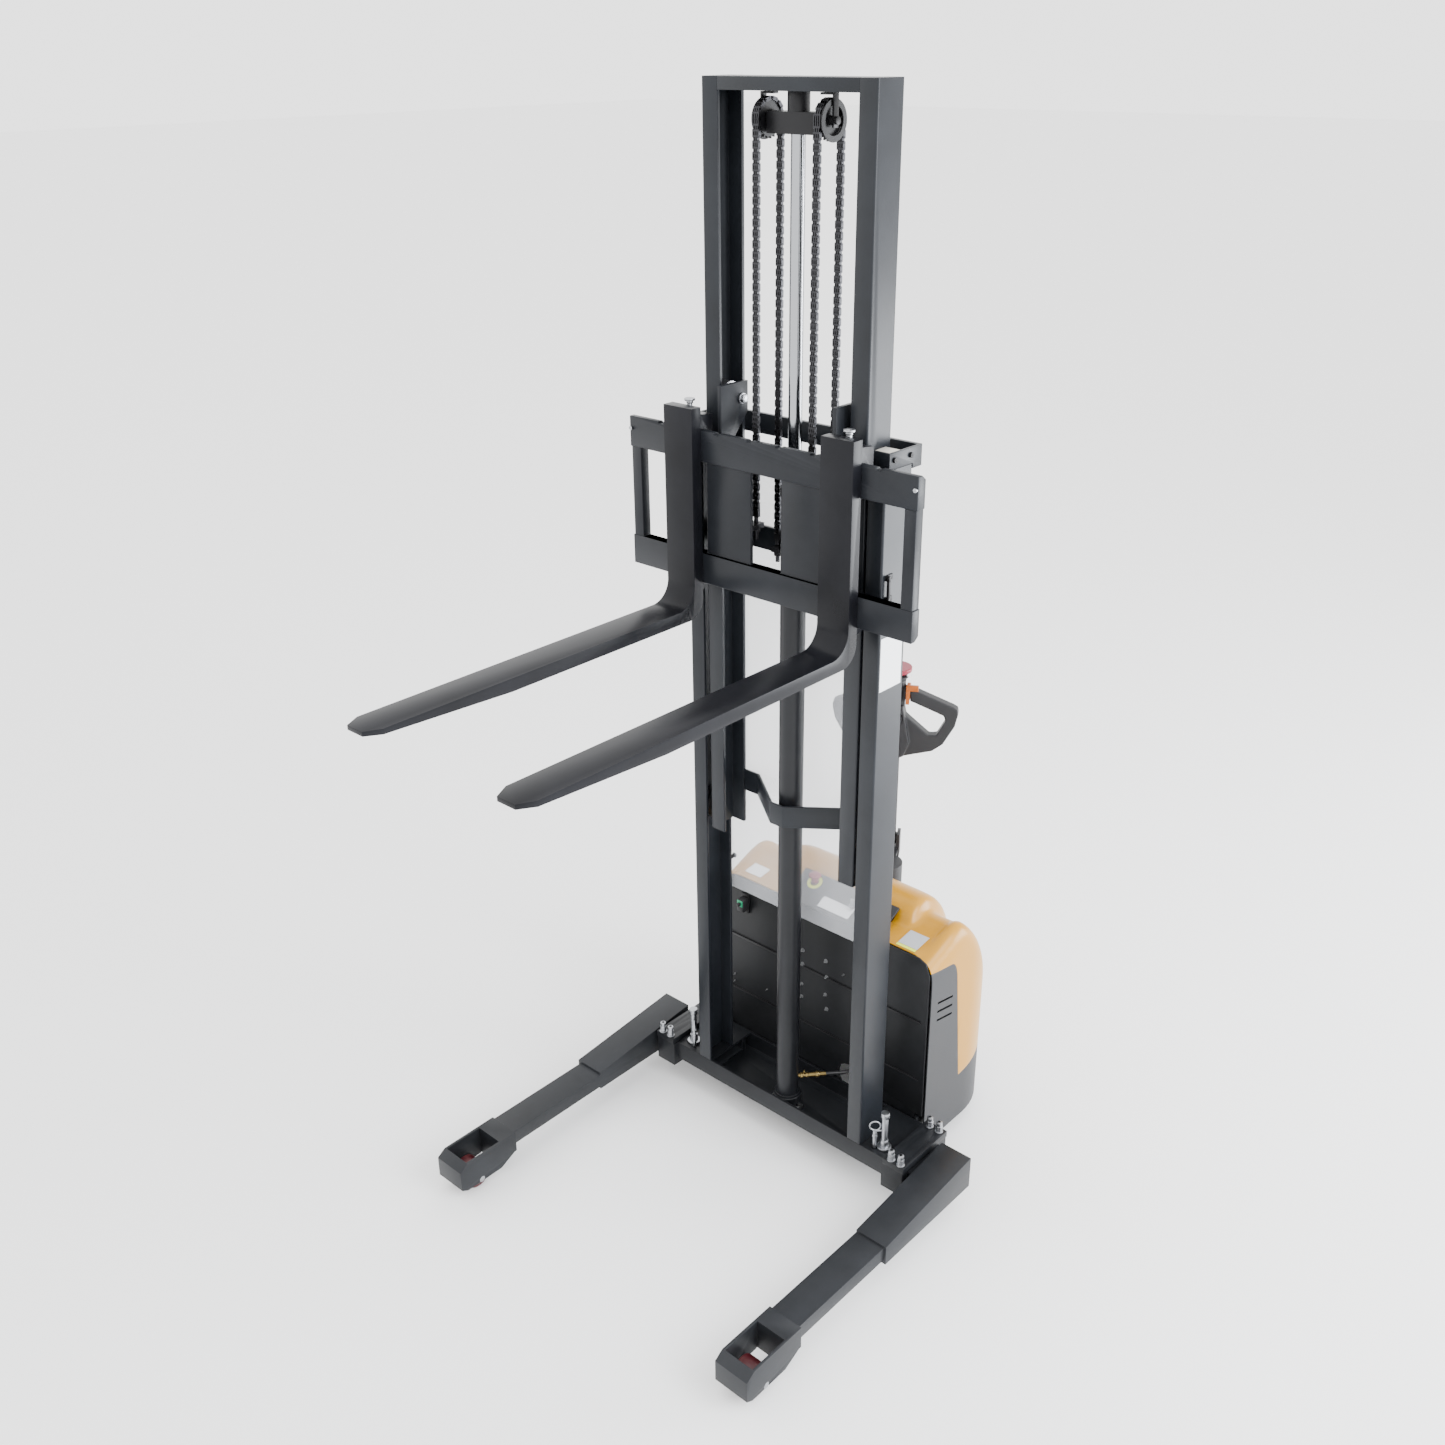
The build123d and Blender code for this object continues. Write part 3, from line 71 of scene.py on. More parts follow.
def face_along(yaw, pitch, roll):
    """Turn of a camera or a lamp that looks along a heading, in degrees."""
    heading, tip, lean = math.radians(yaw), math.radians(pitch), math.radians(roll)
    ahead = Vector((-math.sin(heading) * math.cos(tip), math.cos(heading) * math.cos(tip), math.sin(tip)))
    side = ahead.cross(Vector((0, 0, 1))).normalized()
    up = side.cross(ahead)
    right = side * math.cos(lean) + up * math.sin(lean)
    top = up * math.cos(lean) - side * math.sin(lean)
    return Matrix((right, top, -ahead)).transposed().to_4x4()


lens = bpy.data.cameras.new("viewer")
lens.sensor_width = 36.0
lens.lens = 36.79
viewer = bpy.data.objects.new("viewer", lens)
bpy.context.scene.collection.objects.link(viewer)
viewer.matrix_world = Matrix.Translation(at(2385.3, -2843.5, 3186.7)) @ face_along(42.404, -24.973, -0.581)
bpy.context.scene.camera = viewer


# ---------------------------------------------------------------- pressure hose
# Black rubber hose with a steel core that feeds the lift cylinder. It is screwed to the brass
# elbow at the foot of the tube and goes through the round hole in the front plate to the pump.
class Wire:
    """A socket of a finish, so that maths on it reads as maths."""

    def __init__(self, finish, socket):
        self.finish, self.socket = finish, socket

    def work(self, operation, other):
        return self.finish.node("ShaderNodeMath", {"operation": operation}, {0: self, 1: other})

    def __add__(self, other):
        return self.work("ADD", other)

    def __mul__(self, other):
        return self.work("MULTIPLY", other)


class Finish:
    """A surface finish, with the nodes that vary it over a piece."""

    def __init__(self, name, colour, roughness, **plain):
        self.material = bpy.data.materials.new(name)
        self.material.use_nodes = True
        self.tree = self.material.node_tree
        self.shader = self.tree.nodes["Principled BSDF"]
        self.feed("Base Color", (*colour, 1.0))
        self.feed("Roughness", roughness)
        for socket, value in plain.items():
            self.feed(socket.replace("_", " "), value)
        self.material.diffuse_color = (*colour, 1.0)

    def feed(self, socket, value):
        self.join(self.shader.inputs[socket], value)

    def join(self, socket, value):
        if isinstance(value, Wire):
            self.tree.links.new(value.socket, socket)
        else:
            socket.default_value = value

    def node(self, kind, settings=None, links=None, output=0):
        made = self.tree.nodes.new(kind)
        for key, value in (settings or {}).items():
            if key == "stops":
                for place, (where, level) in enumerate(value):
                    stop = made.color_ramp.elements[place] if place < 2 else made.color_ramp.elements.new(where)
                    stop.position, stop.color = where, (level, level, level, 1.0)
            else:
                setattr(made, key, value)
        for key, value in (links or {}).items():
            self.join(made.inputs[key], value)
        return Wire(self, made.outputs[output])

    def place(self, stretch=(1, 1, 1)):
        """Position on the piece, stretched where a pattern runs along it."""
        here = self.node("ShaderNodeTexCoord", output=3)
        return self.node("ShaderNodeMapping", {"vector_type": "POINT"}, {"Vector": here, "Scale": stretch})

    def cloud(self, scale, detail=3.0, roughness=0.55, stretch=(1, 1, 1)):
        return self.node("ShaderNodeTexNoise", {}, {"Vector": self.place(stretch), "Scale": scale, "Detail": detail,
                                                    "Roughness": roughness})

    def steps(self, value, *stops):
        return self.node("ShaderNodeValToRGB", {"stops": stops}, {"Fac": value})

    def mix(self, share, first, second):
        first, second = ((*c, 1.0) if isinstance(c, tuple) and len(c) == 3 else c for c in (first, second))
        return self.node("ShaderNodeMix", {"data_type": "RGBA"}, {0: share, 6: first, 7: second}, output=2)

    def relief(self, height, depth, strength=1.0):
        """Bump of a pattern, its depth in millimetres."""
        self.feed("Normal", self.node("ShaderNodeBump", {}, {"Height": height, "Distance": depth * MM,
                                                             "Strength": strength}))


def show(piece, body, slot, *replaced):
    """Put a finished piece on its body and hide the plain solids that it stands for. The slot is not used."""
    if not piece.users_collection:
        bpy.context.scene.collection.objects.link(piece)
    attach(piece, body)
    if replaced:
        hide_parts(*replaced)
    return piece


hose_rubber = Finish("hose_rubber", (0.012, 0.012, 0.013), 0.42)
weave = hose_rubber.cloud(900.0, 2.0)
hose_rubber.relief(weave, 0.12, 0.6)
hose_rubber.feed("Roughness", weave * 0.25 + 0.32)

hose_line = bpy.data.curves.new("pressure_hose", "CURVE")
hose_line.dimensions = "3D"
hose_line.bevel_depth = 0.006
hose_line.bevel_resolution = 5
hose_line.use_fill_caps = True
hose_line.resolution_u = 24
run = hose_line.splines.new("NURBS")
hose_points = ((68.9, 132.2, 208.0), (97.0, 163.5, 208.0), (128.0, 212.0, 200.0), (131.0, 261.0, 200.0))
run.points.add(len(hose_points) - 1)
for point, place in zip(run.points, hose_points):
    point.co = (*at(*place), 1.0)
run.order_u = 3
run.use_endpoint_u = True
hose_line.materials.append(hose_rubber.material)
hose = show(bpy.data.objects.new("pressure_hose", hose_line), "root", "rubber_black", "hydraulic_hose")

# ---------------------------------------------------------------- mast rails
# Rolled steel channels, two outer rails welded to the base and two inner rails that slide in them.
# They are shot blasted and sprayed in a dark blue-grey enamel with a slight orange-peel skin.


def enamel(name, colour, roughness=0.36, mottle=0.25, scuffs=0.0, shine=0.24):
    """Sprayed enamel on steel: a fine skin, faint clouding and, where wanted, handling marks."""
    paint = Finish(name, colour, roughness, Specular_IOR_Level=shine)
    clouds = paint.cloud(5.0, 5.0, 0.6)
    light = tuple(min(1.0, c * (1 + mottle) + 0.004 * mottle) for c in colour)
    dark = tuple(c * (1 - mottle) for c in colour)
    shade = paint.mix(paint.steps(clouds, (0.3, 0.0), (0.7, 1.0)), dark, light)
    sheen = clouds * 0.14 + (roughness - 0.07)
    if scuffs:
        marks = paint.steps(paint.cloud(26.0, 8.0, 0.72, (3.0, 1.0, 0.6)), (0.60, 0.0), (0.68, 1.0))
        shade = paint.mix(marks * scuffs, shade, tuple(c * 2.2 + 0.03 for c in colour))
        sheen = sheen + marks * (0.25 * scuffs)
    paint.feed("Base Color", shade)
    paint.feed("Roughness", sheen)
    paint.relief(paint.cloud(420.0, 2.0, 0.5), 0.10, 0.35)
    return paint.material


def dress(finish, *nodes):
    """Give plain solids that keep their shape a finish of their own."""
    for node in nodes:
        solid = frame["nodes"][node].data
        solid.materials.clear()
        solid.materials.append(finish)


def settle(piece, name):
    """Turn a piece with modifiers into a plain finished mesh."""
    bpy.context.view_layer.update()
    made = bpy.data.meshes.new_from_object(piece.evaluated_get(bpy.context.evaluated_depsgraph_get()))
    old = piece.data
    piece.modifiers.clear()
    piece.data = made
    made.name = name
    if old.users == 0:
        bpy.data.meshes.remove(old)
    return piece


def joined(node):
    """A copy of a plain solid's surface with its loose triangles merged and flat faces made whole."""
    surface = bmesh.new()
    surface.from_mesh(frame["nodes"][node].data)
    bmesh.ops.remove_doubles(surface, verts=surface.verts, dist=0.01 * MM)
    bmesh.ops.dissolve_limit(surface, angle_limit=math.radians(0.6), verts=surface.verts, edges=surface.edges,
                             use_dissolve_boundaries=False, delimit=set())
    return surface


def softened(node, finish, width, segments=3, turn=28.0):
    """Stand a copy of a plain solid in its place, with its sharp edges rounded."""
    surface = joined(node)
    for face in surface.faces:
        face.smooth = any(math.radians(0.8) < edge.calc_face_angle(0.0) < math.radians(turn)
                          for edge in face.edges if edge.is_manifold)
    mesh = bpy.data.meshes.new(node + "_rounded")
    surface.to_mesh(mesh)
    surface.free()
    mesh.materials.append(finish)
    mesh.materials.append(finish)
    piece = bpy.data.objects.new(node + "_rounded", mesh)
    bpy.context.scene.collection.objects.link(piece)
    soften = piece.modifiers.new("edges", "BEVEL")
    soften.limit_method = "ANGLE"
    soften.angle_limit = math.radians(turn)
    soften.width = width * MM
    soften.segments = segments
    soften.material = 1
    settle(piece, node + "_rounded")
    for face in piece.data.polygons:
        if face.material_index == 1:
            face.use_smooth = True
            face.material_index = 0
    piece.data.materials.pop(index=1)
    piece.data.set_sharp_from_angle(angle=math.radians(40))
    return show(piece, HOME[node], SLOT[node], node)


MAST_BLUE = (0.0100, 0.0118, 0.0150)
mast_paint = enamel("mast_enamel", MAST_BLUE)
for rails in ("outer_rails", "inner_rails"):
    softened(rails, mast_paint, 1.2, 2)

# ---------------------------------------------------------------- base and clamps
# A welded box section across the truck with square sockets for the legs, a steel cheek each side of
# the covers and a deck for the battery. Ground clamp plates are bolted down over the leg sockets.
base_paint = enamel("base_enamel", (0.0075, 0.0083, 0.0100), 0.40, 0.3, 0.06)
softened("base_frame", base_paint, 1.5, 2)
softened("clamp_plates", base_paint, 2.0, 3)
for part in ("outer_mast_tie", "inner_cross_members"):
    softened(part, mast_paint, 1.2, 2)
softened("front_plate", enamel("plate_enamel", (0.0060, 0.0066, 0.0078), 0.5, 0.3, 0.05), 1.0, 2)

# ---------------------------------------------------------------- legs
# Folded and welded steel legs, deep at the root and slim at the wheel, each with a tongue that
# slides in the base and a forged shoe round its wheel.
leg_paint = enamel("leg_enamel", (0.0115, 0.0127, 0.0150), 0.42, 0.3, 0.06)
for side in ("left", "right"):
    softened("leg_" + side, leg_paint, 2.5, 3)

# ---------------------------------------------------------------- fork carriage
# Two flame-cut bars with hook edges, joined by end posts and by two facing plates, all welded.
carriage_paint = enamel("carriage_enamel", (0.0110, 0.0124, 0.0155), 0.36, 0.25, 0.03, 0.2)
for part in ("carriage_frame", "carriage_side_plates"):
    softened(part, carriage_paint, 1.6, 2)

# ---------------------------------------------------------------- forks
# Forged forks with a bent heel and a tapered blade, painted black. Each hooks over the carriage
# bars and is held by a spring latch with a turned disc handle.
fork_paint = enamel("fork_enamel", (0.0055, 0.0058, 0.0078), 0.30, 0.3, 0.03, 0.15)
for side in ("left", "right"):
    softened("fork_" + side, fork_paint, 3.0, 3)

# ---------------------------------------------------------------- lift cylinder
# A drawn steel tube that stands in a collar on the base, painted with the mast, with a black gland
# nut at its mouth, a ground chrome rod and a brass elbow for the hose at its foot.
tube_paint = enamel("tube_enamel", (0.0085, 0.0092, 0.0112), 0.36, 0.2)
dress(tube_paint, "cylinder_tube")

chrome = Finish("ground_chrome", (0.36, 0.37, 0.39), 0.12, Metallic=1.0)
chrome.feed("Roughness", chrome.cloud(60.0, 3.0, 0.6, (1.0, 1.0, 0.08)) * 0.10 + 0.08)
dress(chrome.material, "piston_rod")
for solid in ("cylinder_tube", "piston_rod"):
    frame["nodes"][solid].data.shade_smooth()
    frame["nodes"][solid].data.set_sharp_from_angle(angle=math.radians(40))


def plated(name, colour, roughness, scale=300.0):
    """Bright plated steel with a faint grain."""
    metal = Finish(name, colour, roughness, Metallic=1.0)
    grain = metal.cloud(scale, 4.0, 0.6)
    metal.feed("Base Color", metal.mix(grain, tuple(c * 0.72 for c in colour), tuple(min(1, c * 1.15) for c in colour)))
    metal.feed("Roughness", grain * 0.2 + (roughness - 0.1))
    metal.relief(grain, 0.03, 0.3)
    return metal.material


zinc = plated("bright_zinc", (0.42, 0.43, 0.45), 0.32)
dull_zinc = plated("dull_zinc", (0.22, 0.225, 0.23), 0.45)
brass = plated("turned_brass", (0.26, 0.19, 0.075), 0.34)
dark_steel = plated("oiled_steel", (0.050, 0.050, 0.054), 0.42)
turned_steel = plated("turned_steel", (0.26, 0.26, 0.27), 0.36)


def form():
    return bmesh.new()


def drum(surface, x, y, z, radius, low, high, axis="Z", steps=32, top=None):
    """A round length along an axis through a point, from low to high along it."""
    turn = {"Z": Matrix.Identity(4), "X": Matrix.Rotation(math.pi / 2, 4, "Y"),
            "Y": Matrix.Rotation(-math.pi / 2, 4, "X")}[axis]
    middle = (low + high) / 2
    centre = {"Z": (x, y, middle), "X": (middle, y, z), "Y": (x, middle, z)}[axis]
    made = bmesh.ops.create_cone(surface, cap_ends=True, segments=steps, radius1=radius,
                                 radius2=radius if top is None else top, depth=high - low,
                                 matrix=Matrix.Translation(centre) @ turn)
    return made["verts"]


def slab(surface, x0, x1, y0, y1, z0, z1):
    size = Matrix.Diagonal((x1 - x0, y1 - y0, z1 - z0, 1.0))
    middle = Matrix.Translation(((x0 + x1) / 2, (y0 + y1) / 2, (z0 + z1) / 2))
    return bmesh.ops.create_cube(surface, size=1.0, matrix=middle @ size)["verts"]


def ease(surface, width, segments=2, turn=28.0, verts=None):
    """Round the sharp edges of what is in a form so far."""
    near = set(verts) if verts is not None else None
    sharp = [e for e in surface.edges if e.is_manifold and e.calc_face_angle(0.0) > math.radians(turn)
             and (near is None or (e.verts[0] in near and e.verts[1] in near))]
    bmesh.ops.bevel(surface, geom=sharp, offset=width, segments=segments, affect="EDGES", profile=0.5, material=-1,
                    clamp_overlap=True)


def stand(name, surface, finish, body, slot, *replaced, sharp=40.0, both=False):
    """Place a form drawn in millimetres from the mast's face as a piece; both adds its mirror image."""
    if both:
        twin = surface.copy()
        bmesh.ops.transform(twin, matrix=Matrix.Diagonal((-1, 1, 1, 1)), verts=twin.verts)
        bmesh.ops.reverse_faces(twin, faces=twin.faces)
        spare = bpy.data.meshes.new("twin")
        twin.to_mesh(spare)
        twin.free()
        surface.from_mesh(spare)
        bpy.data.meshes.remove(spare)
    bmesh.ops.transform(surface, matrix=TO_FRAME, verts=surface.verts)
    mesh = bpy.data.meshes.new(name)
    surface.to_mesh(mesh)
    surface.free()
    mesh.shade_smooth()
    mesh.set_sharp_from_angle(angle=math.radians(sharp))
    mesh.materials.append(finish)
    return show(bpy.data.objects.new(name, mesh), body, slot, *replaced)


def turned(outline, x, y, z, steps=64):
    """A round solid about an axis along X, from its outline of distance along X and radius."""
    piece = form()
    verts = [piece.verts.new((x + along_x, 0, radius)) for along_x, radius in outline]
    edges = [piece.edges.new(pair) for pair in zip(verts, verts[1:] + verts[:1])]
    bmesh.ops.spin(piece, geom=verts + edges, cent=(0, 0, 0), axis=(1, 0, 0), angle=2 * math.pi, steps=steps,
                   use_merge=True)
    bmesh.ops.recalc_face_normals(piece, faces=piece.faces)
    bmesh.ops.translate(piece, vec=(0, y, z), verts=piece.verts)
    return piece


def upright(piece, x, y):
    """Stand a round solid, drawn along X, on end at a place."""
    bmesh.ops.rotate(piece, cent=(0, 0, 0), matrix=Matrix.Rotation(-math.pi / 2, 3, "Y"), verts=piece.verts)
    bmesh.ops.translate(piece, vec=(x, y, 0), verts=piece.verts)
    return piece


TUBE_Y = 55.7
gland = upright(turned(((2095, 18.4), (2095, 36.5), (2096.5, 38), (2116.5, 38), (2118, 36.5), (2118, 24), (2123, 24),
                        (2124, 23), (2124, 18.4)), 0, 0, 0), 0, TUBE_Y)
stand("gland_nut", gland, dark_steel, "root", "chain_steel")
collar = upright(turned(((103.5, 35.1), (103.5, 44.5), (150.5, 44.5), (152.5, 42.5), (152.5, 39), (157, 39), (158, 38),
                         (158, 35.1)), 0, 0, 0), 0, TUBE_Y)
stand("foot_collar", collar, tube_paint, "root", "mast_steel")
feet = form()
slab(feet, 40, 54, TUBE_Y - 13, TUBE_Y + 13, 103.5, 119)
ease(feet, 2.0, 2)
drum(feet, 49, TUBE_Y, 0, 6.5, 119.0, 126.0, steps=6)
stand("collar_feet", feet, dull_zinc, "root", "mast_steel", both=True)
elbow = form()
drum(elbow, 0, 0, 0, 6.5, 33.0, 98.0, axis="X", steps=24)
drum(elbow, 0, 0, 0, 10.4, 40.0, 50.0, axis="X", steps=6)
drum(elbow, 0, 0, 0, 9.4, 57.0, 66.0, axis="X", steps=6)
drum(elbow, 0, 0, 0, 8.0, 66.0, 90.0, axis="X", steps=24)
drum(elbow, 0, 0, 0, 10.6, 90.0, 101.0, axis="X", steps=6)
drum(elbow, 53, 0, 0, 4.2, 6.0, 18.0, steps=6)
drum(elbow, 0, 0, 0, 7.6, 101.0, 122.0, axis="X", steps=24)
ease(elbow, 0.8, 1)
bmesh.ops.transform(elbow, matrix=Matrix.Translation((0, TUBE_Y, 208.0)) @ Matrix.Rotation(math.radians(48), 4, "Z"),
                    verts=elbow.verts)
stand("hose_elbow", elbow, brass, "root", "brass", "cylinder_fittings")

# ---------------------------------------------------------------- chains and sprockets
# Two roller chains of half-inch pitch. Each runs from an anchor on the cross bar up over a sprocket
# beside the cylinder's crosshead and down to the carriage, so the forks rise twice as fast.
PITCH = 12.7
CHAIN_X = 93.0
TEETH = 22
PITCH_R = PITCH / (2 * math.sin(math.pi / TEETH))
WHEEL_Z = 3005.0
CARRIAGE_END = 2050.0
FIXED_END = 1960.0


def link(wide):
    """One link of leaf chain about its middle, along Z: a stack of waisted plates and its pins."""
    piece = form()
    for x in (-8.7, -2.9, 2.9, 8.7) if wide else (-5.8, 0.0, 5.8):
        upon = Matrix.Translation((x - 1.35, 0, 0)) @ Matrix.Rotation(math.pi / 2, 4, "Y")
        plate = bmesh.ops.create_circle(piece, cap_ends=True, segments=10, radius=5.5, matrix=upon)
        for v in plate["verts"]:
            v.co.z = v.co.z * 0.75 + math.copysign(PITCH / 2 - 0.3, v.co.z)
            if abs(v.co.y) > 5.0:
                v.co.z *= 0.35
                v.co.y *= 0.80
        face = [f for f in piece.faces if all(v in plate["verts"] for v in f.verts)]
        grown = bmesh.ops.extrude_face_region(piece, geom=face)
        lift = [g for g in grown["geom"] if isinstance(g, bmesh.types.BMVert)]
        bmesh.ops.translate(piece, vec=(2.7, 0, 0), verts=lift)
    if wide:
        for z in (-PITCH / 2, PITCH / 2):
            drum(piece, 0, 0, z, 2.2, -10.9, 10.9, axis="X", steps=8)
    bmesh.ops.recalc_face_normals(piece, faces=piece.faces)
    mesh = bpy.data.meshes.new("link")
    piece.to_mesh(mesh)
    piece.free()
    return mesh


LINKS = (link(True), link(False))


def strung(places):
    """Links of both chains at a row of places, each given as y, z and the turn about X."""
    chain = form()
    for number, (y, z, turn) in enumerate(places):
        for side in (-1, 1):
            before = len(chain.verts)
            chain.from_mesh(LINKS[number % 2])
            chain.verts.ensure_lookup_table()
            place = Matrix.Translation((side * CHAIN_X, y, z)) @ Matrix.Rotation(turn, 4, "X")
            bmesh.ops.transform(chain, matrix=place, verts=chain.verts[before:])
    return chain


for name, y, ends, low in (("front_chain", TUBE_Y - PITCH_R, ("carriage", "inner_mast"), CARRIAGE_END),
                           ("rear_chain", TUBE_Y + PITCH_R, ("root", "inner_mast"), FIXED_END)):
    strand = strung([(y, WHEEL_Z - PITCH * (n + 0.5), 0.0) for n in range(int((WHEEL_Z - low) / PITCH))])
    bmesh.ops.transform(strand, matrix=TO_FRAME, verts=strand.verts)
    mesh = bpy.data.meshes.new(name + "_links")
    strand.to_mesh(mesh)
    strand.free()
    mesh.materials.append(dark_steel)
    piece = bpy.data.objects.new(name + "_links", mesh)
    bpy.context.scene.collection.objects.link(piece)
    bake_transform(piece)
    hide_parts(name + "s")
wrap = [math.pi / TEETH * (2 * n + 1) for n in range(TEETH // 2)]
wrap = strung([(TUBE_Y - PITCH_R * math.cos(a), WHEEL_Z + PITCH_R * math.sin(a), -a) for a in wrap])
stand("chain_over_wheels", wrap, dark_steel, "inner_mast", "chain_steel")
black_steel = enamel("black_steel", (0.006, 0.006, 0.007), 0.4, 0.3)

rims = turned(((103.8, 34), (103.8, 47.2), (104.6, 48.0), (106.4, 48.0), (107.2, 47.2), (107.2, 34), (106.2, 33),
               (104.8, 33)), 0, TUBE_Y, WHEEL_Z)
drum(rims, 0, TUBE_Y, WHEEL_Z, 10.5, 105.0, 112.6, axis="X", steps=6)
drum(rims, 0, TUBE_Y, WHEEL_Z, 6.0, 105.0, 117.5, axis="X", steps=24)
stand("sprocket_rims", rims, black_steel, "inner_mast", "mast_steel", both=True)
dress(black_steel, "chain_sprockets", "chain_guards", "crosshead")
dress(dark_steel, "chain_anchors", "carriage_anchors")
softened("crosshead", black_steel, 1.5, 2)
softened("chain_guards", black_steel, 0.8, 2)

# ---------------------------------------------------------------- rollers and pads
# Sealed steel rollers run inside the channels, with a bright end washer and a bolt in each stub.
# Pale nylon pads in the boxes on top of the outer rails steady the inner rails.
nylon = Finish("nylon", (0.55, 0.53, 0.47), 0.55)
nylon.relief(nylon.cloud(150.0, 4.0), 0.1, 0.4)
tan_nylon = Finish("tan_nylon", (0.30, 0.24, 0.17), 0.5)
tan_nylon.relief(tan_nylon.cloud(150.0, 4.0), 0.1, 0.4)
dress(turned_steel, "mast_rollers", "carriage_rollers_upper", "carriage_rollers_lower")
softened("guide_pads", nylon.material, 1.5, 2)
for body, height in (("carriage", 2322.0), ("carriage", 1912.0)):
    nut = form()
    drum(nut, 0, TUBE_Y, height, 12.0, 168.0, 176.5, axis="X", steps=6)
    drum(nut, 0, TUBE_Y, height, 14.0, 176.5, 182.8, axis="X", steps=32)
    ease(nut, 1.0, 2)
    stand("roller_nuts_%d" % height, nut, zinc, body, "zinc", both=True)

# ---------------------------------------------------------------- moulded covers
# Two plastic mouldings close the power unit: a grey skirt with three vents a side, and a yellow hood
# whose seam steps down behind the vents. The hood has a broad dome and a ridge along each shoulder.
COVER_HALF = 412.0
COVER_REAR = 668.0
CORNER = 233.0
STEER_Y = 537.0


def along(points, y):
    """Height read from a short list of places, eased between them."""
    if y <= points[0][0]:
        return points[0][1]
    for (a, low), (b, high) in zip(points, points[1:]):
        if y <= b:
            return low + (high - low) * (y - a) / (b - a)
    return points[-1][1]


DOME = ((217, 739), (300, 752), (312, 760), (326, 782), (345, 799), (370, 808), (400, 811), (440, 799), (480, 768),
        (520, 725), (560, 672), (600, 604), (635, 522), (655, 436), (668, 330))
RIDGE = ((217, 729), (260, 744), (300, 760), (340, 775), (372, 782), (400, 778), (432, 752), (474, 706), (517, 640),
         (560, 566), (600, 490), (640, 400), (668, 318))
SHELF = ((217, 738), (300, 750), (345, 758), (372, 768), (400, 766), (432, 745), (474, 700), (517, 640), (560, 566),
         (600, 490), (640, 400), (668, 318))
ROWS = (217, 221, 240, 262, 284, 300, 308, 316, 326, 338, 352, 372, 400, 425, 450, 480, 510, 540, 570, 600, 625, 645,
        658, 665, 668)


def cover_section(y):
    """Half a section across the covers, from the middle of the top to the foot of the side."""
    wide = COVER_HALF
    if y > COVER_REAR - CORNER:
        step = min(y - (COVER_REAR - CORNER), CORNER - 0.2)
        wide = COVER_HALF - CORNER + math.sqrt(CORNER ** 2 - step ** 2)
    share = wide / COVER_HALF
    dome, ridge, shelf = along(DOME, y), along(RIDGE, y), along(SHELF, y)
    foot = 60.0
    drop = ridge - 44
    fall, rise = dome - shelf, ridge - shelf
    points = [(0, dome), (60, dome), (120, dome), (180, dome - 0.5), (225, dome - 2), (248, dome - fall * 0.1),
              (256, dome - fall * 0.4), (264, dome - fall * 0.8), (272, shelf), (300, shelf), (338, shelf),
              (350, shelf + rise * 0.2), (359, shelf + rise * 0.65), (368, ridge), (384, ridge - 3),
              (397, ridge - 14), (406, ridge - 32), (411, drop - 10), (412, drop - 40)]
    points += [(412, (drop - 40) + (foot - drop + 40) * s) for s in (0.15, 0.3, 0.45, 0.6, 0.75, 0.88, 0.97, 1.0)]
    return [(x * share, max(z, foot)) for x, z in points]


def cover_form():
    """The covers' outer skin, as a grid bent over their sections, with its rear end closed."""
    half = cover_section(300)
    across = 2 * len(half) - 1
    skin = form()
    bmesh.ops.create_grid(skin, x_segments=across - 1, y_segments=len(ROWS) - 1, size=1.0)
    for v in skin.verts:
        column = round((v.co.x + 1) / 2 * (across - 1))
        row = round((v.co.y + 1) / 2 * (len(ROWS) - 1))
        step = column - (len(half) - 1)
        x, z = cover_section(ROWS[row])[abs(step)]
        v.co = (math.copysign(x, step) if step else 0.0, ROWS[row], z)
    last = [e for e in skin.edges if e.is_boundary and all(v.co.y > COVER_REAR - 0.01 for v in e.verts)]
    grown = bmesh.ops.extrude_edge_only(skin, edges=last)
    ring = [g for g in grown["geom"] if isinstance(g, bmesh.types.BMVert)]
    for v in ring:
        v.co.x *= 0.5
        v.co.z = 60.0 if v.co.z < 61 else 60.0 + (v.co.z - 60.0) * 0.6
    skin.faces.new(sorted(ring, key=lambda v: math.atan2(v.co.z - 59.0, v.co.x)))
    mesh = bpy.data.meshes.new("cover_skin")
    bmesh.ops.recalc_face_normals(skin, faces=skin.faces)
    skin.to_mesh(mesh)
    skin.free()
    piece = bpy.data.objects.new("cover_skin", mesh)
    bpy.context.scene.collection.objects.link(piece)
    smooth = piece.modifiers.new("smooth", "SUBSURF")
    smooth.levels = smooth.render_levels = 1
    smooth.boundary_smooth = "PRESERVE_CORNERS"
    settle(piece, "cover_skin")
    return piece


SEAM = ((200, 694), (217, 694), (300, 684), (322, 680), (334, 672), (343, 656), (350, 630), (394, 230), (430, 234),
        (520, 250), (700, 268))


def above_seam(y, z):
    """True where a point seen from the side belongs to the hood."""
    if y >= 394:
        return z > along(SEAM[7:], y)
    if y <= 343:
        return z > along(SEAM[:6], y)
    edge = 343 + (350 - 343) * (656 - z) / 26 if z > 630 else 350 + (394 - 350) * (630 - z) / 400
    return z > 230 and y > edge


def half_of(source, keep, cuts):
    """One moulding cut out of the covers' skin along the seam; walled gives it its 3.5 mm wall and soft rim."""
    part = form()
    part.from_mesh(source.data)
    for y, z, ny, nz in cuts:
        bmesh.ops.bisect_plane(part, geom=part.verts[:] + part.edges[:] + part.faces[:], plane_co=(0, y, z),
                               plane_no=(0, ny, nz), dist=0.01)
    lost = [f for f in part.faces if not keep(*f.calc_center_median())]
    bmesh.ops.delete(part, geom=lost, context="FACES")
    return part


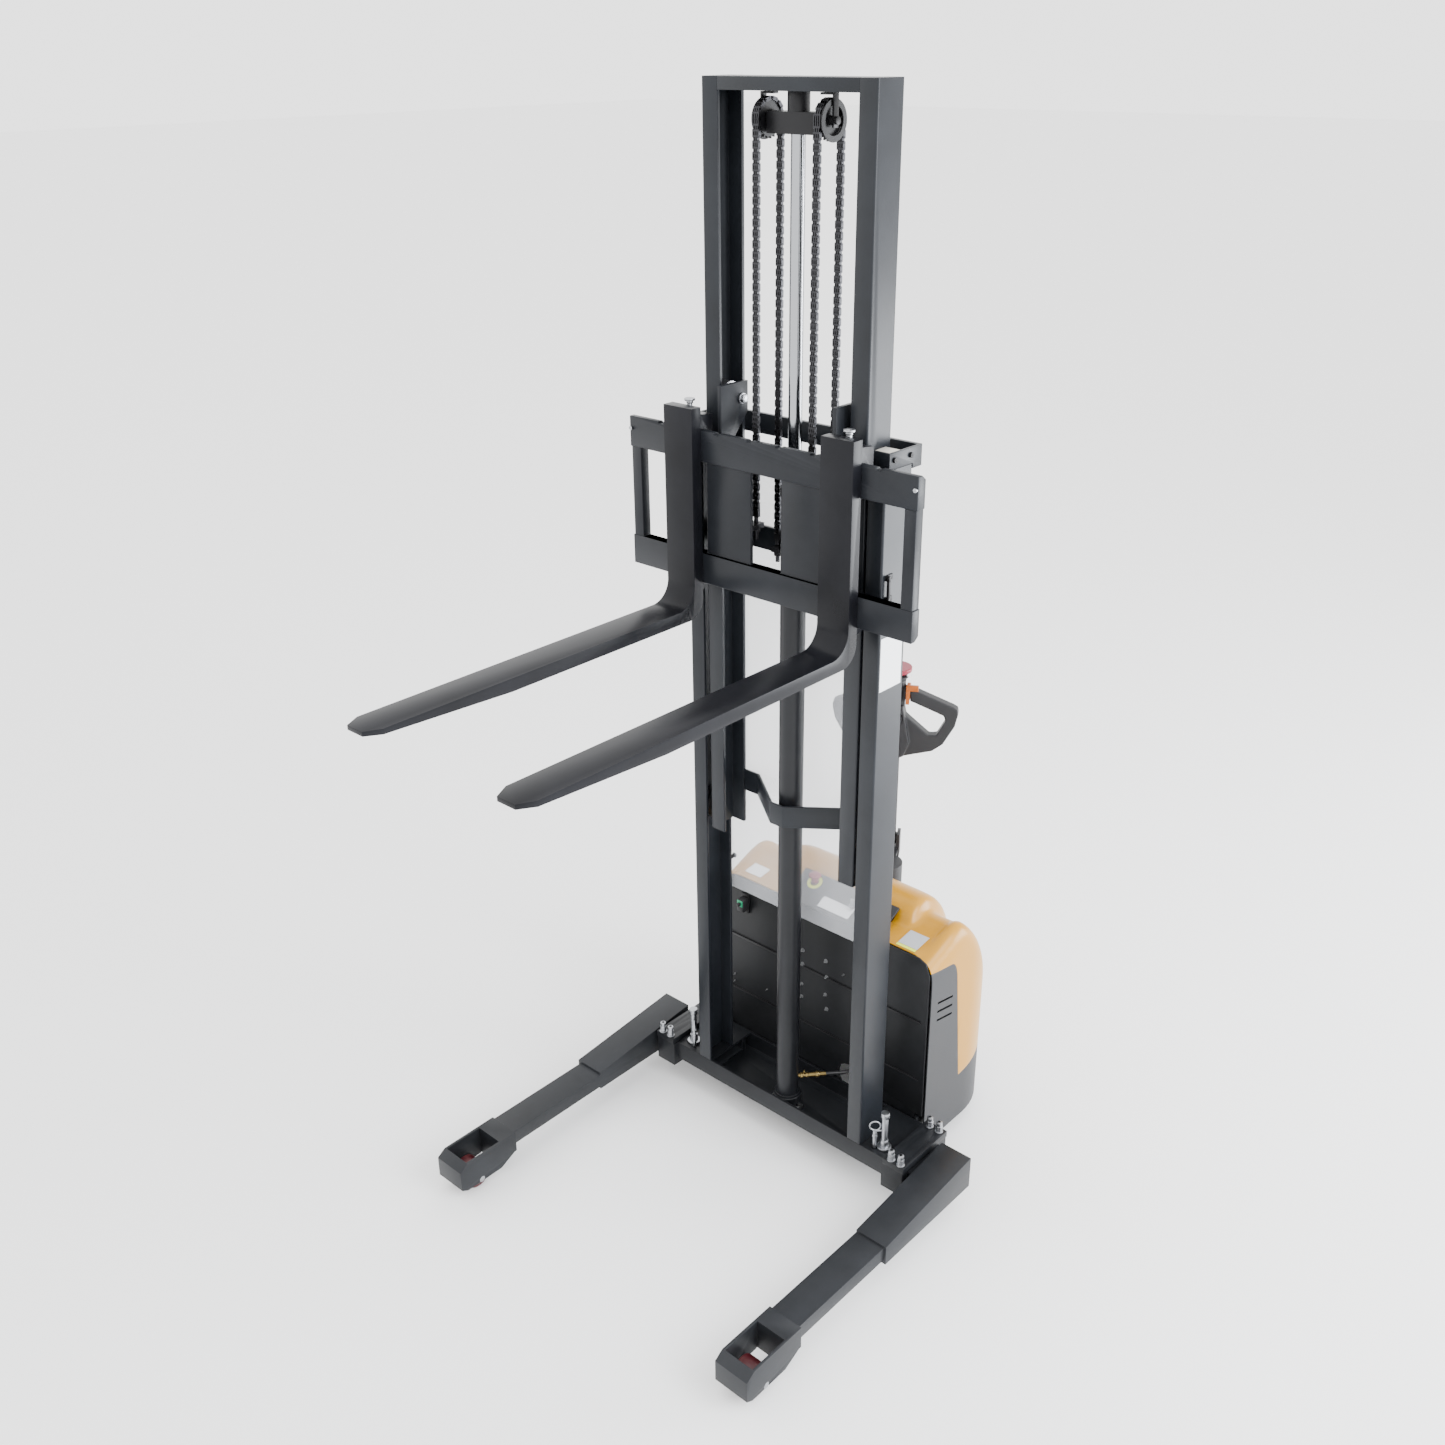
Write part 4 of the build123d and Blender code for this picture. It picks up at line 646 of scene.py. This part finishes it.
SEAM_CUTS = [(y0, z0, z0 - z1, y1 - y0) for (y0, z0), (y1, z1) in zip(SEAM, SEAM[1:])]


def moulded(name, colour, roughness, grain=0.06):
    """Injection-moulded plastic with a fine spark-eroded grain."""
    skin = Finish(name, colour, roughness, Specular_IOR_Level=0.4)
    skin.relief(skin.cloud(1400.0, 2.0, 0.5), grain, 0.5)
    haze = skin.cloud(4.0, 3.0)
    skin.feed("Base Color", skin.mix(haze, tuple(c * 0.93 for c in colour), tuple(min(1, c * 1.05) for c in colour)))
    skin.feed("Roughness", haze * 0.1 + (roughness - 0.05))
    return skin.material


hood_yellow = moulded("hood_plastic", (0.40, 0.185, 0.0008), 0.30)
skirt_grey = moulded("skirt_plastic", (0.015, 0.016, 0.0185), 0.5, 0.12)
panel_black = moulded("panel_plastic", (0.010, 0.010, 0.0115), 0.5, 0.1)

skin = cover_form()
DASH = (-150.0, 210.0, 217.0, 318.0)


def on_dash(x, y, z):
    return DASH[0] < x < DASH[1] and y < DASH[3] and z > 700


def walled(part, name, finish):
    """Give a cut skin its thickness and soft rims, as a piece of its own."""
    bmesh.ops.remove_doubles(part, verts=part.verts, dist=0.05)
    loose = [v for v in part.verts if not v.link_faces]
    bmesh.ops.delete(part, geom=loose, context="VERTS")
    bmesh.ops.recalc_face_normals(part, faces=part.faces)
    bmesh.ops.transform(part, matrix=TO_FRAME, verts=part.verts)
    mesh = bpy.data.meshes.new(name)
    part.to_mesh(mesh)
    part.free()
    mesh.materials.append(finish)
    piece = bpy.data.objects.new(name, mesh)
    bpy.context.scene.collection.objects.link(piece)
    wall_of = piece.modifiers.new("wall", "SOLIDIFY")
    wall_of.thickness = 3.5 * MM
    wall_of.offset = -1.0
    wall_of.use_even_offset = False
    rim = piece.modifiers.new("rim", "BEVEL")
    rim.limit_method = "ANGLE"
    rim.angle_limit = math.radians(60)
    rim.width = 0.9 * MM
    rim.segments = 2
    mesh.shade_smooth()
    return piece


def drilled(piece, tool):
    """Cut a form, drawn in millimetres from the mast's face, out of a piece."""
    bmesh.ops.transform(tool, matrix=TO_FRAME, verts=tool.verts)
    mesh = bpy.data.meshes.new("cutter")
    tool.to_mesh(mesh)
    tool.free()
    cutter = bpy.data.objects.new("cutter", mesh)
    bpy.context.scene.collection.objects.link(cutter)
    cut = piece.modifiers.new("cut", "BOOLEAN")
    cut.object = cutter
    cut.operation = "DIFFERENCE"
    cut.solver = "EXACT"
    settle(piece, piece.name)
    piece.data.set_sharp_from_angle(angle=math.radians(42))
    bpy.data.objects.remove(cutter)
    return piece


WELL_R = 64.0
hood = half_of(skin, lambda x, y, z: above_seam(y, z) and not on_dash(x, y, z), SEAM_CUTS + [(DASH[3], 0, 1, 0)])
well = form()
drum(well, 0, STEER_Y, 0, WELL_R, 450.0, 950.0, steps=64)
show(drilled(walled(hood, "hood_moulding", hood_yellow), well), "root", "hood_yellow", "hood")

skirt = half_of(skin, lambda x, y, z: not above_seam(y, z) and z > 60.5, SEAM_CUTS)
skirt_piece = walled(skirt, "skirt_moulding", skirt_grey)
vents = form()
for side in (-1, 1):
    for number in range(3):
        slot_verts = slab(vents, -30, 30, -41, 41, -3.6, 3.6)
        bmesh.ops.transform(vents, matrix=Matrix.Translation((side * COVER_HALF, 292, 568 - 31 * number))
                            @ Matrix.Rotation(math.radians(-11), 4, "X"), verts=slot_verts)
show(drilled(skirt_piece, vents), "root", "skirt_grey", "lower_cover")
bpy.data.objects.remove(skin)
dress(panel_black, "dash_panel", "limit_switch")

# ---------------------------------------------------------------- dash, guard and switches
# A black dash panel let into the hood behind a clear sheet. It carries a red stop button on a yellow
# ring, a key switch, a charge lamp and blank labels. The sheet is bolted to the outer rails.
def plate_on(name, corners, lift, finish, slot, body="root"):
    """A thin sticker or plate on four given corners, lifted a little along its face."""
    piece = form()
    low = [piece.verts.new(corner) for corner in corners]
    face = piece.faces.new(low)
    face.normal_update()
    up = face.normal.copy()
    grown = bmesh.ops.extrude_face_region(piece, geom=[face])
    top = [g for g in grown["geom"] if isinstance(g, bmesh.types.BMVert)]
    bmesh.ops.translate(piece, vec=up * lift, verts=top)
    bmesh.ops.recalc_face_normals(piece, faces=piece.faces)
    ease(piece, lift * 0.3, 1)
    return stand(name, piece, finish, body, slot)


def sticker(name, colour, roughness=0.4):
    film = Finish(name, colour, roughness)
    film.relief(film.cloud(200.0, 3.0), 0.02, 0.4)
    return film.material


white_film = sticker("white_film", (0.80, 0.81, 0.83))
grey_film = sticker("grey_film", (0.36, 0.37, 0.39))
lime_film = sticker("lime_film", (0.62, 0.70, 0.05))
red_gloss = moulded("red_plastic", (0.20, 0.004, 0.02), 0.25, 0.02)
orange_gloss = moulded("orange_plastic", (0.34, 0.075, 0.002), 0.32, 0.03)
green_gloss = moulded("green_plastic", (0.01, 0.30, 0.14), 0.35, 0.02)
lamp_red = Finish("lamp_red", (0.9, 0.02, 0.10), 0.3, Emission_Color=(1.0, 0.05, 0.2, 1.0), Emission_Strength=1.5)


def slope(y):
    """Height of the dash's top."""
    return 740 + (y - 217) * 46 / 93


dash = form()
bmesh.ops.create_grid(dash, x_segments=12, y_segments=6, size=1.0)
for v in dash.verts:
    v.co = (-152 + (v.co.x + 1) / 2 * 364, 216 + (v.co.y + 1) / 2 * 106, 0)
    v.co.z = slope(v.co.y) + 0.6
grown = bmesh.ops.extrude_face_region(dash, geom=dash.faces[:])
lower = [g for g in grown["geom"] if isinstance(g, bmesh.types.BMVert)]
bmesh.ops.translate(dash, vec=(0, 0, -8), verts=lower)
bmesh.ops.recalc_face_normals(dash, faces=dash.faces)
ease(dash, 2.0, 3)
STOP = (-91.0, 290.0, slope(290.0))
bore = form()
drum(bore, STOP[0], STOP[1], 0, 12.8, STOP[2] - 40, STOP[2] + 40, steps=40)
drilled(stand("dash_moulding", dash, panel_black, "root", "panel_black", "dash_panel"), bore)

stop = form()
drum(stop, STOP[0], STOP[1], 0, 12.0, STOP[2] + 2, STOP[2] + 19, steps=32)
drum(stop, STOP[0], STOP[1], 0, 16.0, STOP[2] + 18, STOP[2] + 23, steps=40, top=20.0)
drum(stop, STOP[0], STOP[1], 0, 20.0, STOP[2] + 23, STOP[2] + 27, steps=40)
drum(stop, STOP[0], STOP[1], 0, 20.0, STOP[2] + 27, STOP[2] + 32, steps=40, top=14.0)
bmesh.ops.remove_doubles(stop, verts=stop.verts, dist=0.05)
ease(stop, 1.2, 2)
stand("stop_button", stop, red_gloss, "emergency_stop", "button_red", "emergency_stop")
ring = upright(turned(((-1, 14.6), (-1, 25), (0.6, 25), (1.3, 24.3), (1.3, 14.6)), 0, 0, 0), 0, 0)
bmesh.ops.transform(ring, matrix=Matrix.Translation(STOP) @ Matrix.Rotation(math.radians(26), 4, "X"),
                    verts=ring.verts)
stand("stop_ring", ring, lime_film, "root", "hood_yellow")
dress(zinc, "key_switch")
for name, corners, finish in (
        ("dash_label", ((-30, 226), (88, 226), (88, 262), (-30, 262)), white_film),
        ("shelf_label_right", ((272, 233), (340, 233), (340, 298), (272, 298)), grey_film),
        ("shelf_strip_right", ((272, 222), (340, 222), (340, 232), (272, 232)), lime_film),
        ("shelf_label_left", ((-338, 240), (-274, 240), (-274, 290), (-338, 290)), white_film)):
    lift = 2.2 if "dash" in name else 1.2
    plate_on(name, [(x, y, (slope(y) if "dash" in name else along(SHELF, y) + 0.6)) for x, y in corners], lift, finish,
             "panel_black")
beacon = form()
drum(beacon, 118, 262, 0, 8.0, slope(262), slope(262) + 7, steps=24)
ease(beacon, 1.5, 2)
stand("charge_lamp", beacon, lamp_red.material, "root", "button_red")

clear = Finish("clear_sheet", (0.80, 0.82, 0.86), 0.16, Alpha=0.30)
clear.feed("Alpha", clear.cloud(2.0, 2.0) * 0.10 + 0.20)
clear.relief(clear.cloud(8.0, 2.0), 0.05, 0.3)
softened("guard_sheet", clear.material, 1.0, 2)

box = form()
slab(box, -322, -296, 181, 211, 628, 672)
ease(box, 2.5, 3)
stand("limit_switch_body", box, panel_black, "root", "panel_black", "limit_switch")
for name, part, finish, slot in (
        ("switch_face", (-320, -298, 178.5, 181.2, 648, 670), green_gloss, "panel_black"),
        ("switch_bracket", (-326, -292, 205, 212, 616, 684), black_steel, "mast_steel"),
        ("switch_knob", (-313, -303, 168, 179, 654, 664), panel_black, "panel_black")):
    box = form()
    slab(box, *part)
    ease(box, 1.2, 2)
    stand(name, box, finish, "root", slot)
ridge = form()
slab(ridge, -384, 384, 206.5, 211.2, 508, 516)
slab(ridge, -384, 384, 207.5, 211.2, 300, 306)
ease(ridge, 1.4, 2)
stand("plate_ledges", ridge, black_steel, "root", "mast_steel")
spots = form()
for x, z, r in ((-71, 572, 5.5), (-71, 520, 5.5), (-73, 444, 4.5), (-72, 396, 4.5), (22, 572, 5.5), (26, 514, 5.5),
                (23, 447, 5.0), (29, 395, 5.5), (92, 554, 2.6), (-358, 353, 2.6), (-358, 325, 2.6), (-218, 354, 2.2)):
    drum(spots, x, 0, z, r, 206.5, 211.2, axis="Y", steps=6 if r > 3 else 20)
    drum(spots, x, 0, z, r * 1.3, 210.0, 211.4, axis="Y", steps=28)
    drum(spots, x, 0, z, r * 0.5, 202.0, 206.7, axis="Y", steps=20)
ease(spots, 0.5, 1)
stand("plate_screws", spots, dull_zinc, "root", "zinc")

# ---------------------------------------------------------------- chassis bolts and lock pins
# Zinc plated studs, nuts and washers hold the clamp plates. The legs are locked by turned pins with
# a flange, each kept by a sprung ring clip beside it.
bolts = form()
# The thin black discs on the stud ends are painted shade: they stand for the dark inside hollows in the ends, which are
# not cut.
painted_hollow_shade = form()
for x in (451.0, 485.0):
    for y in (-8.0, 188.0):
        drum(bolts, x, y, 0, 6.0, 76.0, 214.0, steps=20)
        drum(bolts, x, y, 0, 12.4, 178.0, 180.8, steps=36)
        drum(bolts, x, y, 0, 10.9, 180.8, 191.0, steps=6)
        drum(bolts, x, y, 0, 10.9, 191.4, 200.0, steps=6)
        drum(bolts, x, y, 0, 9.0, 200.0, 213.0, steps=32)
        drum(painted_hollow_shade, x, y, 0, 4.8, 213.4, 214.4, steps=24)
ease(bolts, 0.9, 2)
stand("clamp_studs", bolts, zinc, "root", "zinc", both=True)
stand("stud_end_painted_shade", painted_hollow_shade, black_steel, "root", "mast_steel", both=True)
caps = form()
for x in (-286.0, 286.0):
    for z in (869.0, 1400.0, 1840.0):
        drum(caps, x, 0, z, 8.0, 128.0, 133.0, axis="Y", steps=32)
        drum(caps, x, 0, z, 4.0, 120.5, 124.0, axis="Y", steps=6)
        drum(caps, x, 0, z, 6.0, 112.0, 124.0, axis="Y", steps=24)
ease(caps, 0.8, 2)
stand("guard_screws", caps, black_steel, "root", "zinc", "chassis_bolts")

for side, sign in (("right", 1), ("left", -1)):
    pin = form()
    drum(pin, 390, 40, 0, 10.0, 71.5, 286.0, steps=40)
    drum(pin, 390, 40, 0, 22.0, 158.4, 165.5, steps=48)
    drum(pin, 390, 40, 0, 14.0, 165.5, 188.0, steps=40, top=12.0)
    drum(pin, 390, 40, 0, 13.0, 270.0, 288.0, steps=40)
    drum(pin, 369, 20, 0, 6.5, 159.4, 224.0, steps=28)
    drum(pin, 369, 20, 0, 8.6, 200.0, 210.0, steps=28)
    drum(pin, 0, 0, 0, 3.0, -14.5, 14.5, axis="X", steps=16)
    arm = [v for v in pin.verts if v.co.length < 60]
    bmesh.ops.transform(pin, matrix=Matrix.Translation((379.5, 30, 222)) @ Matrix.Rotation(math.radians(45), 4, "Z"),
                        verts=arm)
    ease(pin, 1.2, 2)
    eye = bmesh.ops.create_circle(pin, cap_ends=False, segments=14, radius=2.6,
                                  matrix=Matrix.Translation((16, 0, 0)) @ Matrix.Rotation(math.pi / 2, 4, "X"))
    bmesh.ops.spin(pin, geom=eye["verts"] + [e for e in pin.edges if all(v in eye["verts"] for v in e.verts)],
                   cent=(0, 0, 0), axis=(0, 0, 1), angle=2 * math.pi, steps=36, use_merge=True)
    loop = [v for v in pin.verts if v.co.length < 60]
    bmesh.ops.transform(pin, matrix=Matrix.Translation((369, 20, 240)) @ Matrix.Rotation(math.radians(40), 4, "Z")
                        @ Matrix.Rotation(math.pi / 2, 4, "X"), verts=loop)
    bmesh.ops.transform(pin, matrix=Matrix.Diagonal((sign, 1, 1, 1)), verts=pin.verts)
    bmesh.ops.recalc_face_normals(pin, faces=pin.faces)
    stand("lock_pin_turned_" + side, pin, zinc, "lock_pin_" + side, "zinc", "lock_pin_" + side)

# ---------------------------------------------------------------- load wheels
# Dark red polyurethane tyres cast on steel hubs, each on a plain axle held by a cap in its shoe.
LOAD_X = 568.5
LOAD_Y = -770.0
LOAD_R = 40.0
TYRE_RED = (0.055, 0.004, 0.008)
tyre = Finish("cast_tyre", TYRE_RED, 0.4)
worn = tyre.cloud(30.0, 5.0, 0.6)
# The noise called worn is no wear here: the paler, greyer patches it mixes into the tread's colour are painted light,
# standing for lamp light falling on the tread. The same noise also varies the tread's roughness and bump.
tyre.feed("Base Color", tyre.mix(tyre.steps(worn, (0.45, 0.0), (0.75, 1.0)), TYRE_RED, (0.085, 0.022, 0.022)))
tyre.feed("Roughness", worn * 0.3 + 0.25)
tyre.relief(worn, 0.2, 0.4)
rubber = Finish("grey_rubber", (0.035, 0.035, 0.036), 0.6)
rubber.relief(rubber.cloud(90.0, 5.0, 0.6), 0.3, 0.4)

for side, sign in (("right", 1), ("left", -1)):
    wheel_x = sign * LOAD_X
    wheel = turned(((-35, 29), (-35, 36), (-32, 39.4), (-28, 40), (28, 40), (32, 39.4), (35, 36), (35, 29)), wheel_x,
                   LOAD_Y, LOAD_R)
    stand("load_tyre_" + side, wheel, tyre.material, "load_wheel_" + side, "wheel_pu", "load_wheel_" + side)
    hub = turned(((-33, 10.1), (-33, 17), (-31, 18), (-31, 25), (-34, 26), (-34, 29.2), (34, 29.2), (34, 26), (31, 25),
                  (31, 18), (33, 17), (33, 10.1)), wheel_x, LOAD_Y, LOAD_R)
    stand("load_hub_" + side, hub, turned_steel, "load_wheel_" + side, "roller_steel")
    axle = form()
    drum(axle, 0, LOAD_Y, LOAD_R, 10.0, wheel_x - 53.5, wheel_x + 53.5, axis="X", steps=40)
    drum(axle, 0, LOAD_Y, LOAD_R, 5.0, wheel_x - 54.2, wheel_x + 54.2, axis="X", steps=6)
    ease(axle, 1.0, 2)
    stand("load_axle_turned_" + side, axle, zinc, "leg_" + side, "zinc", "load_axle_" + side)

# ---------------------------------------------------------------- drive, casters and battery
# Under the covers stand a steered drive wheel with its motor, two swivel casters on the deck, two
# batteries and the hydraulic pack with its tank, motor and pump.
CASTER_Y = 534.0
CASTER_R = 62.5
cast_grey = enamel("cast_grey", (0.085, 0.088, 0.092), 0.55, 0.2)
case = moulded("battery_case", (0.03, 0.035, 0.042), 0.45, 0.15)
softened("battery", case, 6.0, 3)
for part in ("hydraulic_power_pack", "drive_gearbox"):
    softened(part, cast_grey, 2.5, 2)
dress(cast_grey, "drive_motor")
frame["nodes"]["drive_motor"].data.shade_smooth()
frame["nodes"]["drive_motor"].data.set_sharp_from_angle(angle=math.radians(40))
for side, x in (("left", -250.0), ("right", 250.0)):
    tread = turned(((-20, 34), (-20, 55), (-17, 60), (-10, 62.3), (10, 62.3), (17, 60), (20, 55), (20, 34)), x,
                   CASTER_Y, CASTER_R)
    stand("caster_tread_" + side, tread, rubber.material, "caster_wheel_" + side, "rubber_black",
          "caster_wheel_" + side)
    core = turned(((-19, 6.1), (-19, 14), (-12, 16), (-12, 30), (-18, 34.5), (18, 34.5), (12, 30), (12, 16), (19, 14),
                   (19, 6.1)), x, CASTER_Y, CASTER_R)
    stand("caster_core_" + side, core, nylon.material, "caster_wheel_" + side, "pale_nylon")
    softened("caster_fork_" + side, zinc, 1.2, 2)
STEERED = Matrix.Translation((0, STEER_Y, 0)) @ Matrix.Rotation(math.radians(30), 4, "Z")
tread = turned(((-35, 80), (-35, 99), (-30, 104), (-20, 105), (20, 105), (30, 104), (35, 99), (35, 80)), 0, 0, 105)
bmesh.ops.transform(tread, matrix=STEERED, verts=tread.verts)
stand("drive_tread", tread, rubber.material, "drive_wheel", "rubber_black", "drive_wheel")
rim = turned(((-33, 22.1), (-33, 34), (-20, 38), (-20, 70), (-33, 76), (-33, 80.5), (33, 80.5), (33, 76), (20, 70),
              (20, 38), (33, 34), (33, 22.1)), 0, 0, 105)
bmesh.ops.transform(rim, matrix=STEERED, verts=rim.verts)
stand("drive_rim", rim, cast_grey, "drive_wheel", "cast_grey")

# ---------------------------------------------------------------- tiller
# The driver steers by a tiller: a turned steering head, a square arm and a moulded head with two
# hand loops, orange throttle wings, a rocker for the forks, a horn and a red safety button.


def cast(node, finish, cell, passes):
    """Stand a copy of a plain solid in its place, worn round all over like a casting or a moulding."""
    surface = joined(node)
    mesh = bpy.data.meshes.new(node + "_moulded")
    surface.to_mesh(mesh)
    surface.free()
    mesh.materials.append(finish)
    piece = bpy.data.objects.new(node + "_moulded", mesh)
    bpy.context.scene.collection.objects.link(piece)
    cells = piece.modifiers.new("cells", "REMESH")
    cells.mode = "VOXEL"
    cells.voxel_size = cell * MM
    cells.use_smooth_shade = True
    worn_round = piece.modifiers.new("worn", "SMOOTH")
    worn_round.factor = 0.5
    worn_round.iterations = passes
    settle(piece, piece.name)
    piece.data.shade_smooth()
    return show(piece, HOME[node], SLOT[node], node)


softened("tiller_base", panel_black, 2.5, 3)
softened("tiller_arm", black_steel, 2.0, 3)
cast("tiller_head", panel_black, 2.2, 9)
cast("throttle_butterfly", orange_gloss, 1.2, 5)
cast("belly_button", red_gloss, 1.6, 9)
cast("lift_rocker", panel_black, 1.2, 4)
cast("horn_button", red_gloss, 0.8, 4)

# ---------------------------------------------------------------- small fittings on the mast
# Socket screws in the boxes on the rail tops, a bent bracket and a blank sticker on the right rail,
# fork latches and the end screws of the carriage bars.
screws = form()
for y in (34.0, 102.0):
    drum(screws, 0, y, 2248, 7.0, 330.0, 336.0, axis="X", steps=32)
    drum(screws, 0, y, 2248, 3.2, 334.5, 336.4, axis="X", steps=6)
ease(screws, 0.7, 2)
stand("box_screws", screws, black_steel, "root", "zinc", both=True)
roller = turned(((276, 3), (276, 11), (279, 14), (305, 14), (308, 11), (308, 3)), 0, 46, 2237)
stand("box_rollers", roller, tan_nylon.material, "root", "pale_nylon", both=True)
bracket = form()
slab(bracket, 330, 334, 14, 44, 1885, 1900)
slab(bracket, 330, 334, 14, 44, 1943, 1958)
slab(bracket, 334, 344, 14, 22, 1885, 1900)
slab(bracket, 334, 344, 14, 22, 1943, 1958)
slab(bracket, 336, 344, 14, 22, 1898, 1945)
ease(bracket, 1.5, 2)
stand("rail_bracket", bracket, black_steel, "root", "mast_steel")
plate_on("rail_sticker", [(330.3, 8, 1640), (330.3, 100, 1640), (330.3, 100, 1788), (330.3, 8, 1788)], 0.5, white_film,
         "panel_black")
for side, x in (("left", -262.0), ("right", 262.0)):
    latch = form()
    drum(latch, x, -59, 0, 7.0, 2256.5, 2324.0, steps=28)
    drum(latch, x, -59, 0, 14.5, 2324.5, 2330.5, steps=40)
    drum(latch, x, -59, 0, 9.0, 2317.0, 2324.5, steps=28)
    ease(latch, 1.2, 2)
    stand("fork_latch_turned_" + side, latch, zinc, "fork_latch_" + side, "zinc", "fork_latch_" + side)
ends = form()
for x in (-470.0, 470.0):
    drum(ends, x, 0, 2222, 5.5, -76.0, -70.5, axis="Y", steps=28)
ease(ends, 0.8, 2)
stand("bar_end_screws", ends, zinc, "carriage", "zinc")


# ---------------------------------------------------------------- floor and lamps
# A plain pale floor that runs out of sight, and soft lamps with the strongest one at the right.
floor_mesh = bpy.data.meshes.new("floor")
sheet = bmesh.new()
bmesh.ops.create_grid(sheet, x_segments=1, y_segments=1, size=60.0)
sheet.to_mesh(floor_mesh)
sheet.free()
floor = bpy.data.objects.new("floor", floor_mesh)
bpy.context.scene.collection.objects.link(floor)
paper = Finish("paper", (0.93, 0.93, 0.93), 0.9)
floor_mesh.materials.append(paper.material)

world = bpy.data.worlds.new("studio")
bpy.context.scene.world = world
world.use_nodes = True
world.node_tree.nodes["Background"].inputs[0].default_value = (1, 1, 1, 1)
world.node_tree.nodes["Background"].inputs[1].default_value = 2.6


def lamp(name, place, aim, size, power):
    light = bpy.data.lights.new(name, "AREA")
    light.shape = "RECTANGLE"
    light.size, light.size_y = size
    light.energy = power
    light.color = (0.93, 0.96, 1.0)
    piece = bpy.data.objects.new(name, light)
    bpy.context.scene.collection.objects.link(piece)
    turn = (Vector(aim) - Vector(place)).to_track_quat("-Z", "Y")
    piece.matrix_world = Matrix.Translation(place) @ turn.to_matrix().to_4x4()


lamp("side_lamp", (5.0, 0.8, 4.0), (0.0, 0.0, 2.0), (3.0, 3.6), 450.0)
lamp("rear_lamp", (4.4, 4.9, 1.2), (0.0, 0.2, 2.0), (3.4, 2.4), 520.0)
